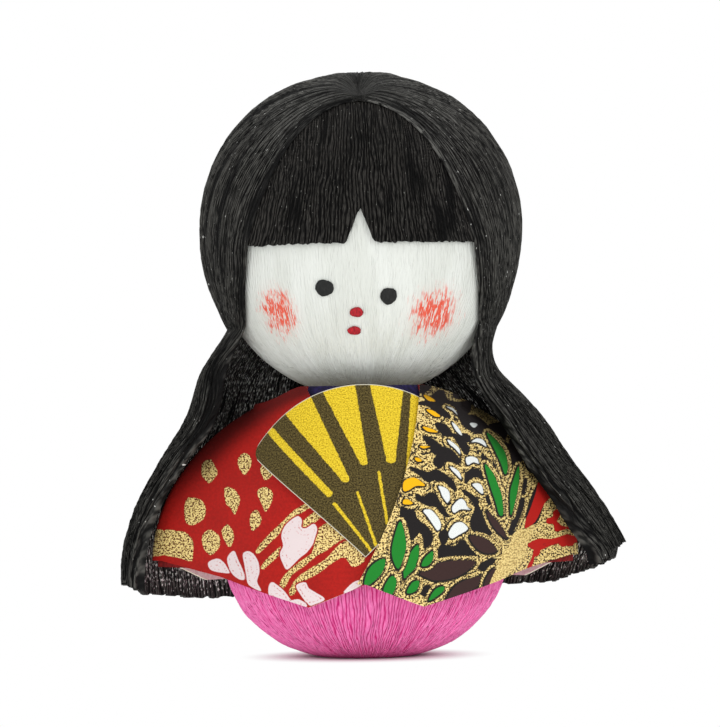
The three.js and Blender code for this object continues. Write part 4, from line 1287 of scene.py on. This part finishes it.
def plainPaper(name, light, dark, pitch=0.4, rough=0.85):
    material, nodes = newMaterial(name)
    fibres = nodes.noise(nodes.spot(), 1 / (pitch * mm), detail=4)
    colour = nodes.blend(nodes.map(fibres, 0.3, 0.7), rgb(dark), rgb(light))
    finishMaterial(nodes, colour, rough, bump(nodes, fibres, 0.03), 0.3)
    return material


# Robe

sleeveCut = {
    "hemCorner": 7.5, "hemCornerZ": 6.9, "hemInnerZ": 9.6, "hemKnee": 17, "hemKneeZ": 10.3, "backHemZ": 9.2,
    "ripple": 0.07, "tipShare": 0.985, "backEnd": 1.6, "frontSteps": (65, 57, 45, 13), "backSteps": 41,
    "rowSteps": (61, 81), "beforeFan": 0.7, "pastFan": 5.3, "shadeReach": 4.5, "shadeZ": (16, 26),
}
redSleeve = {
    "name": "red_sleeve", "node": "sleeve_left", "slot": "red_print", "side": -1, "foot": -4,
    "neck": robe["neck"], "bulge": 0, "overFan": 0, "seed": 31, "inks": redInks, "paint": paintRed,
}
blackSleeve = {
    "name": "black_sleeve", "node": "sleeve_right", "slot": "black_print", "side": 1, "foot": -1.1,
    "neck": robe["neck"] - 0.1, "bulge": 1.6, "overFan": 2, "seed": 41, "inks": blackInks,
    "paint": paintBlack,
}
fanSize = {
    "radius": 22, "half": 44, "pivotZ": 12.8, "corner": 1.7, "cornerSteps": 7, "columns": 121, "rows": 119,
}


def frontHem(across):
    return linesAt([
        [-12, sleeveCut["hemInnerZ"] + 1], [0, sleeveCut["hemInnerZ"]],
        [sleeveCut["hemCorner"], sleeveCut["hemCornerZ"]], [sleeveCut["hemKnee"], sleeveCut["hemKneeZ"]],
        [wing["span"], wing["low"]],
    ], across)


def makeSleeve(spec, materials):
    side, edgeFoot, edgeTop = spec["side"], spec["foot"], spec["neck"]
    inner = sleeveCut["hemInnerZ"]
    widthAtHem = robeHalfWidth(inner, layer)
    neckHalf = robeHalfWidth(robe["top"], 0)
    corner, knee = [(sleeveCut[key] - edgeFoot) / (widthAtHem - edgeFoot) for key in ("hemCorner", "hemKnee")]
    tipShare = sleeveCut["tipShare"]
    toCorner, toKnee, toTip, roundTip = sleeveCut["frontSteps"]
    shares = runs([(0, corner, toCorner), (corner, knee, toKnee), (knee, tipShare, toTip)])
    tipColumn = np.arcsin(tipShare) / (math.pi / 2)
    beyond = runs([(tipColumn, 1, roundTip), (1, sleeveCut["backEnd"], sleeveCut["backSteps"])])
    columns = np.concatenate([np.arcsin(shares) / (math.pi / 2), beyond[1:]])
    rows = runs([(0, 1, sleeveCut["rowSteps"][0]), (1, 2, sleeveCut["rowSteps"][1])])
    fanSide = fanSize["radius"] * math.sin(math.radians(fanSize["half"]))

    def offsetAt(across):  # the black panel also closes over the fan
        past = smooth(across, fanSide - sleeveCut["beforeFan"], fanSide + sleeveCut["pastFan"])
        return layer * (1 + spec["overFan"] * (1 - past))

    def edgeAt(z):
        v = (z - inner) / (robe["top"] - inner)
        return lerp(edgeFoot, edgeTop, v) + spec["bulge"] * 4 * v * (1 - v)

    def rippleAt(share, row):
        long = wobble(share * 9 + row * 1.3, 1.0, spec["seed"])
        return sleeveCut["ripple"] * long * wobble(row * 3, 1.0, spec["seed"] + 1)

    def pointAt(column, row, face):
        front = column <= 1
        share = np.sin(math.pi / 2 * column)
        foot = np.where(front, lerp(edgeFoot, widthAtHem, share), widthAtHem * share)
        backHem = linesAt([[0.8 * wing["span"], sleeveCut["backHemZ"]], [wing["span"], wing["low"]]], foot)
        hem = np.where(front, frontHem(foot), backHem)
        neck = neckHeight(np.where(front, lerp(edgeTop, neckHalf, share), 99))
        z = robeHeight(hem, neck, row)
        near = offsetAt(np.where(front, foot, wing["span"])) + face * paper["washi"] + rippleAt(share, row)
        width = robeHalfWidth(z, near)
        across = np.where(front, lerp(edgeAt(z), width, share), width * share)
        return stack(side * across, robeDepth(across, z, near, np.where(front, -1, 1)), z)

    def paperAt(column, row, points):
        x, z = points[..., 0], points[..., 2]
        width = robeHalfWidth(z, layer)
        around = np.where(column <= 1, x, side * (2 * width - np.abs(x)))
        return stack(around, z, 0)

    painted = {}  # each of the two faces is painted once, for all its inks

    def inkAt(ink):
        def fieldAt(column, row, points):
            if points.shape not in painted:
                spot = paperAt(column, row, points)
                painted[points.shape] = spec["paint"](spot[..., 0], spot[..., 1])
            return painted[points.shape][ink]
        return fieldAt

    def shadeAt(column, row, points):  # painted shade: the paper is drawn darker up under the hair, where the hair's shadow falls
        across, z = np.abs(points[..., 0]), points[..., 2]
        nearHair = smooth(wingReach(z) - across, sleeveCut["shadeReach"], 0.0)
        return nearHair * smooth(z, *sleeveCut["shadeZ"])

    fields = {"paper": paperAt, "shade": shadeAt, **{ink: inkAt(ink) for ink in spec["inks"]}}
    mesh = sheetMesh(spec["node"], columns, rows, pointAt, every=(2, 2), fields=fields)
    settle(place(spec["name"], mesh, materials), spec["node"])


def makeSleeves():
    back = plainPaper("paper_back", (240, 232, 222), (222, 208, 196))
    cut = plainPaper("paper_cut", (236, 226, 208), (206, 190, 166))
    red = washiMaterial("red_washi_print", "red", redInks, "redSpeck")
    black = washiMaterial("black_washi_print", "black", blackInks, "blackSpeck")
    makeSleeve(redSleeve, [red, back, cut])
    makeSleeve(blackSleeve, [black, back, cut])


kimono = {  # turns in degrees from the middle of the back
    "end": 145, "side": 60, "belowWing": 0.8, "sideSteps": 69, "backSteps": 61, "rows": 41,
}
collar = {"columns": 192, "rows": 17}


def makeKimono():
    end, side, sideSteps = kimono["end"], kimono["side"], kimono["sideSteps"]
    turns = runs([(-end, -side, sideSteps), (-side, side, kimono["backSteps"]), (side, end, sideSteps)])
    rows = np.linspace(0, 2, kimono["rows"])

    def pointAt(turn, row, face):
        behind = np.abs(turn) < 90
        share = np.sin(np.radians(turn))
        neck = neckHeight(np.where(behind, 99, robeHalfWidth(robe["top"], 0) * np.abs(share)))
        z = robeHeight(wing["low"] - kimono["belowWing"], neck, row)
        x = robeHalfWidth(z, face * paper["washi"]) * share
        return stack(x, robeDepth(x, z, face * paper["washi"], np.where(behind, 1, -1)), z)

    mesh = sheetMesh("kimono_body", turns, rows, pointAt, every=(2, 2))
    red = plainPaper("deep_red_washi", (134, 20, 20), (98, 8, 12))
    settle(place("red_wrap", mesh, [red]), "kimono_body")


def makeUnderRobe():
    angles = np.linspace(0, 2 * math.pi, collar["columns"], endpoint=False)
    rows = np.linspace(0, 1, collar["rows"])

    def pointAt(angle, row, face):
        across = np.where(np.sin(angle) < 0, np.abs(robe["shoulder"] * np.cos(angle)), robe["shoulder"])
        z = lerp(robe["low"], neckHeight(across), row)
        radius = robeRadius(z) - paper["gap"] - (1 - face) * paper["washi"]
        return stack(radius * np.cos(angle), radius * np.sin(angle), z)

    mesh = sheetMesh("under_robe", angles, rows, pointAt, every=(2, 2), wrapped=True)
    navy = plainPaper("navy_washi_paper", (38, 30, 78), (20, 16, 44))
    settle(place("navy_under_robe", mesh, [navy]), "under_robe")


# Fan: a printed card sector, rolled on the cone of the robe

fanInks = {
    "brownDark": (38, 30, 10), "brown": (108, 94, 52), "yellowDark": (166, 134, 14), "yellow": (240, 210, 54),
    "border": (206, 202, 184),
}
fanMarks = [  # foot, head, half widths; mm on the flat card, up from the pivot
    ((-4.21, 8.3), (-12.7, 18.7), 0.42, 0.5), ((-2.23, 10.0), (-8.7, 21.4), 0.45, 2.05),
    ((-0.07, 12.1), (-3.5, 24.0), 0.45, 2.3), ((3.14, 12.5), (2.75, 24.0), 0.55, 2.35),
    ((5.3, 10.4), (7.9, 22.0), 0.45, 2.1), ((-3.58, 6.95), (0.7, 0.8), 0.2, 0.17),
    ((-0.83, 8.2), (1.25, 1.5), 0.15, 0.18), ((1.69, 10.8), (2.6, 4.3), 0.17, 0.17),
]


def makeFan():
    radius, corner, halfTurn = fanSize["radius"], fanSize["corner"], fanSize["half"]
    offset = 2 * layer
    apex = base["height"] + (robe["belt"] + offset) / robe["slope"]
    half = math.atan(robe["slope"])
    pivotDistance = (apex - fanSize["pivotZ"]) / math.cos(half)
    inner = halfTurn - math.degrees(corner / radius)
    ends = fanSize["cornerSteps"]
    angles = runs([(-halfTurn, -inner, ends), (-inner, inner, fanSize["columns"]), (inner, halfTurn, ends)])
    shares = np.concatenate([[0, 0.02], np.linspace(0.04, 1, fanSize["rows"])])

    def flatAt(angle, share):
        fromEdge = np.radians(halfTurn - np.abs(angle)) * radius
        cut = np.maximum(0, corner - fromEdge)
        reach = share * (radius - corner + np.sqrt(np.maximum(0, corner ** 2 - cut ** 2)))
        return reach * np.sin(np.radians(angle)), reach * np.cos(np.radians(angle))

    def pointAt(angle, share, face):
        lateral, up = flatAt(angle, share)
        along = pivotDistance - up
        z = apex - np.hypot(along, lateral) * math.cos(half)
        turn = np.arctan2(lateral, along) / math.sin(half)
        near = offset + face * paper["washi"]
        x = (robeRadius(z) + near) * np.sin(turn)
        return stack(x, robeDepth(x, z, near, -1), z)

    def paperAt(angle, share, points):
        lateral, up = flatAt(angle, share)
        return stack(lateral, up, 0)

    def markAt(angle, share, points):
        sheet = Print(*flatAt(angle, share), ["mark"])
        for start, end, startWidth, endWidth in fanMarks:
            sheet.draw("mark", sheet.stroke(start, end, startWidth, endWidth))
        return sheet.inks["mark"]

    def borderAt(angle, share, points):  # distance to the nearest cut edge
        lateral, up = flatAt(angle, share)
        reach = np.hypot(lateral, up)
        besides = reach * np.sin(np.radians(halfTurn - np.abs(angle)))
        return np.minimum(besides, radius - reach)

    mesh = sheetMesh("fan", angles, shares, pointAt, every=(2, 2),
                     fields={"paper": paperAt, "mark": markAt, "border": borderAt})
    card = plainPaper("card_edge", (206, 204, 190), (168, 164, 148), 0.2)
    settle(place("card_fan", mesh, [fanMaterial(), card, card]), "fan")


def fanMaterial():
    material, nodes = newMaterial("fan_print")
    where = nodes.field("paper", "Vector")
    ink = {name: rgb(colour) for name, colour in fanInks.items()}
    grain = nodes.grain(where, 0.18, 0.18, roughness=0.7)
    edge = (nodes.grain(where, 0.5, 0.5, 3.0) - 0.5) * 0.26
    mask = nodes.map(nodes.field("mark") + edge, 0.07, -0.07)
    brown = nodes.blend(nodes.map(grain, 0.35, 0.68), ink["brownDark"], ink["brown"])
    yellow = nodes.blend(nodes.map(grain, 0.3, 0.62), ink["yellowDark"], ink["yellow"])
    colour = nodes.blend(mask, brown, yellow)
    colour = nodes.blend(nodes.map(nodes.field("border"), 0.13, 0.05), colour, ink["border"])
    finishMaterial(nodes, colour, 0.7, bump(nodes, grain, 0.02), 0.12)
    return material


# Inside pieces keep their CAD shape and get their own finish
def finishInside():
    pulp = plainPaper("pulp_board_fibre", (196, 178, 148), (160, 142, 112), 0.8, 0.95)
    ball = plainPaper("pulp_ball_fibre", (236, 234, 226), (214, 210, 200), 0.8, 0.9)
    bamboo = plainPaper("bamboo_grain", (214, 180, 126), (178, 140, 88), 0.5, 0.6)
    iron = plainPaper("cast_iron_skin", (96, 98, 102), (58, 60, 64), 0.6, 0.6)
    finishes = {"base_bowl": pulp, "body_dome": pulp, "head_ball": ball, "neck_peg": bamboo, "weight": iron}
    for node, material in finishes.items():
        piece = cadNodes[node]
        piece.data.materials.clear()
        piece.data.materials.append(material)


# Stage: the real doll leans a little, so the camera is rolled instead

shot = {
    "distance": 600, "aimX": -0.326, "aimZ": 35.75, "lean": 0.01484, "pixel": 0.1224, "longSide": 727,
    "sensor": 36,
}
lamps = [  # place and size in mm, power in watts
    {"name": "key", "at": (260, -460, 260), "size": 320, "power": 0.65},
    {"name": "front", "at": (-100, -600, 40), "size": 320, "power": 1.3},
    {"name": "top", "at": (0, 60, 520), "size": 380, "power": 0.7},
]
lampAim = Vector((0, 0, 0.036))  # the middle of the doll
studio = {"strength": 0.7, "floorHalf": 1.5, "floorGrey": 0.86, "shadowNear": 0.006, "shadowFar": 0.016}
white = (1, 1, 1, 1)


def makeCamera():
    data = bpy.data.cameras.new("camera")
    data.sensor_width = shot["sensor"]
    data.lens = shot["sensor"] * shot["distance"] / (shot["pixel"] * shot["longSide"])
    data.clip_start, data.clip_end = 0.01, 10
    camera = bpy.data.objects.new("camera", data)
    bpy.context.scene.collection.objects.link(camera)
    norm = math.hypot(1, shot["lean"])
    right = (1 / norm, 0, -shot["lean"] / norm)
    up = (shot["lean"] / norm, 0, 1 / norm)
    turn = Matrix((right, up, (0, -1, 0))).transposed()
    camera.matrix_world = turn.to_4x4()
    camera.location = (shot["aimX"] * mm, -shot["distance"] * mm, shot["aimZ"] * mm)
    bpy.context.scene.camera = camera


def makeLamps():
    for lamp in lamps:
        data = bpy.data.lights.new(lamp["name"], "AREA")
        data.shape, data.size, data.energy = "DISK", lamp["size"] * mm, lamp["power"]
        softbox = bpy.data.objects.new(lamp["name"], data)
        bpy.context.scene.collection.objects.link(softbox)
        softbox.location = [part * mm for part in lamp["at"]]
        softbox.rotation_euler = (lampAim - softbox.location).to_track_quat("-Z", "Y").to_euler()


def makeWorld():  # seen and mirrored it is white, but it lights at its own strength
    world = bpy.data.worlds.new("studio")
    bpy.context.scene.world = world
    world.use_nodes = True
    world.node_tree.nodes.clear()
    nodes = Nodes(world.node_tree)
    path = nodes.add("ShaderNodeLightPath", None, (), out="Is Camera Ray")
    rays = [Socket(nodes, path.link.node.outputs[key]) for key in ("Is Glossy Ray", "Is Transmission Ray")]
    seen = (path + rays[0] + rays[1]).least(1.0)
    strength = studio["strength"] + (1 - studio["strength"]) * seen
    light = nodes.add("ShaderNodeBackground", None, {"Color": white, "Strength": strength})
    nodes.end("ShaderNodeOutputWorld", light)


def makeFloor():  # grey under the doll, where the shadow falls, and white beyond
    half, grey = studio["floorHalf"], studio["floorGrey"]
    corners = [(-half, -half, 0), (half, -half, 0), (half, half, 0), (-half, half, 0)]
    mesh = bpy.data.meshes.new("floor")
    mesh.from_pydata(corners, [], [(0, 1, 2, 3)])
    material, nodes = newMaterial("floor_white")
    x, y, _ = nodes.split(nodes.spot())
    far = nodes.map((x * x + y * y) ** 0.5, studio["shadowNear"], studio["shadowFar"])
    matte = nodes.add("ShaderNodeBsdfDiffuse", None, {"Color": (grey, grey, grey, 1)})
    glow = nodes.add("ShaderNodeEmission", None, {"Color": white, "Strength": 1.0})
    nodes.end("ShaderNodeOutputMaterial", nodes.add("ShaderNodeMixShader", None, [far, matte, glow]))
    place("floor", mesh, [material])


bpy.context.scene.view_settings.view_transform = "Standard"
makeCamera()
makeLamps()
makeWorld()
makeFloor()
print("stage ready")
finishInside()
makeSkirt()
makeFace()
makeDots()
makeFringe()
makeMantle()
print("crepe pieces ready")
makeUnderRobe()
makeKimono()
makeSleeves()
makeFan()
print("robe ready")
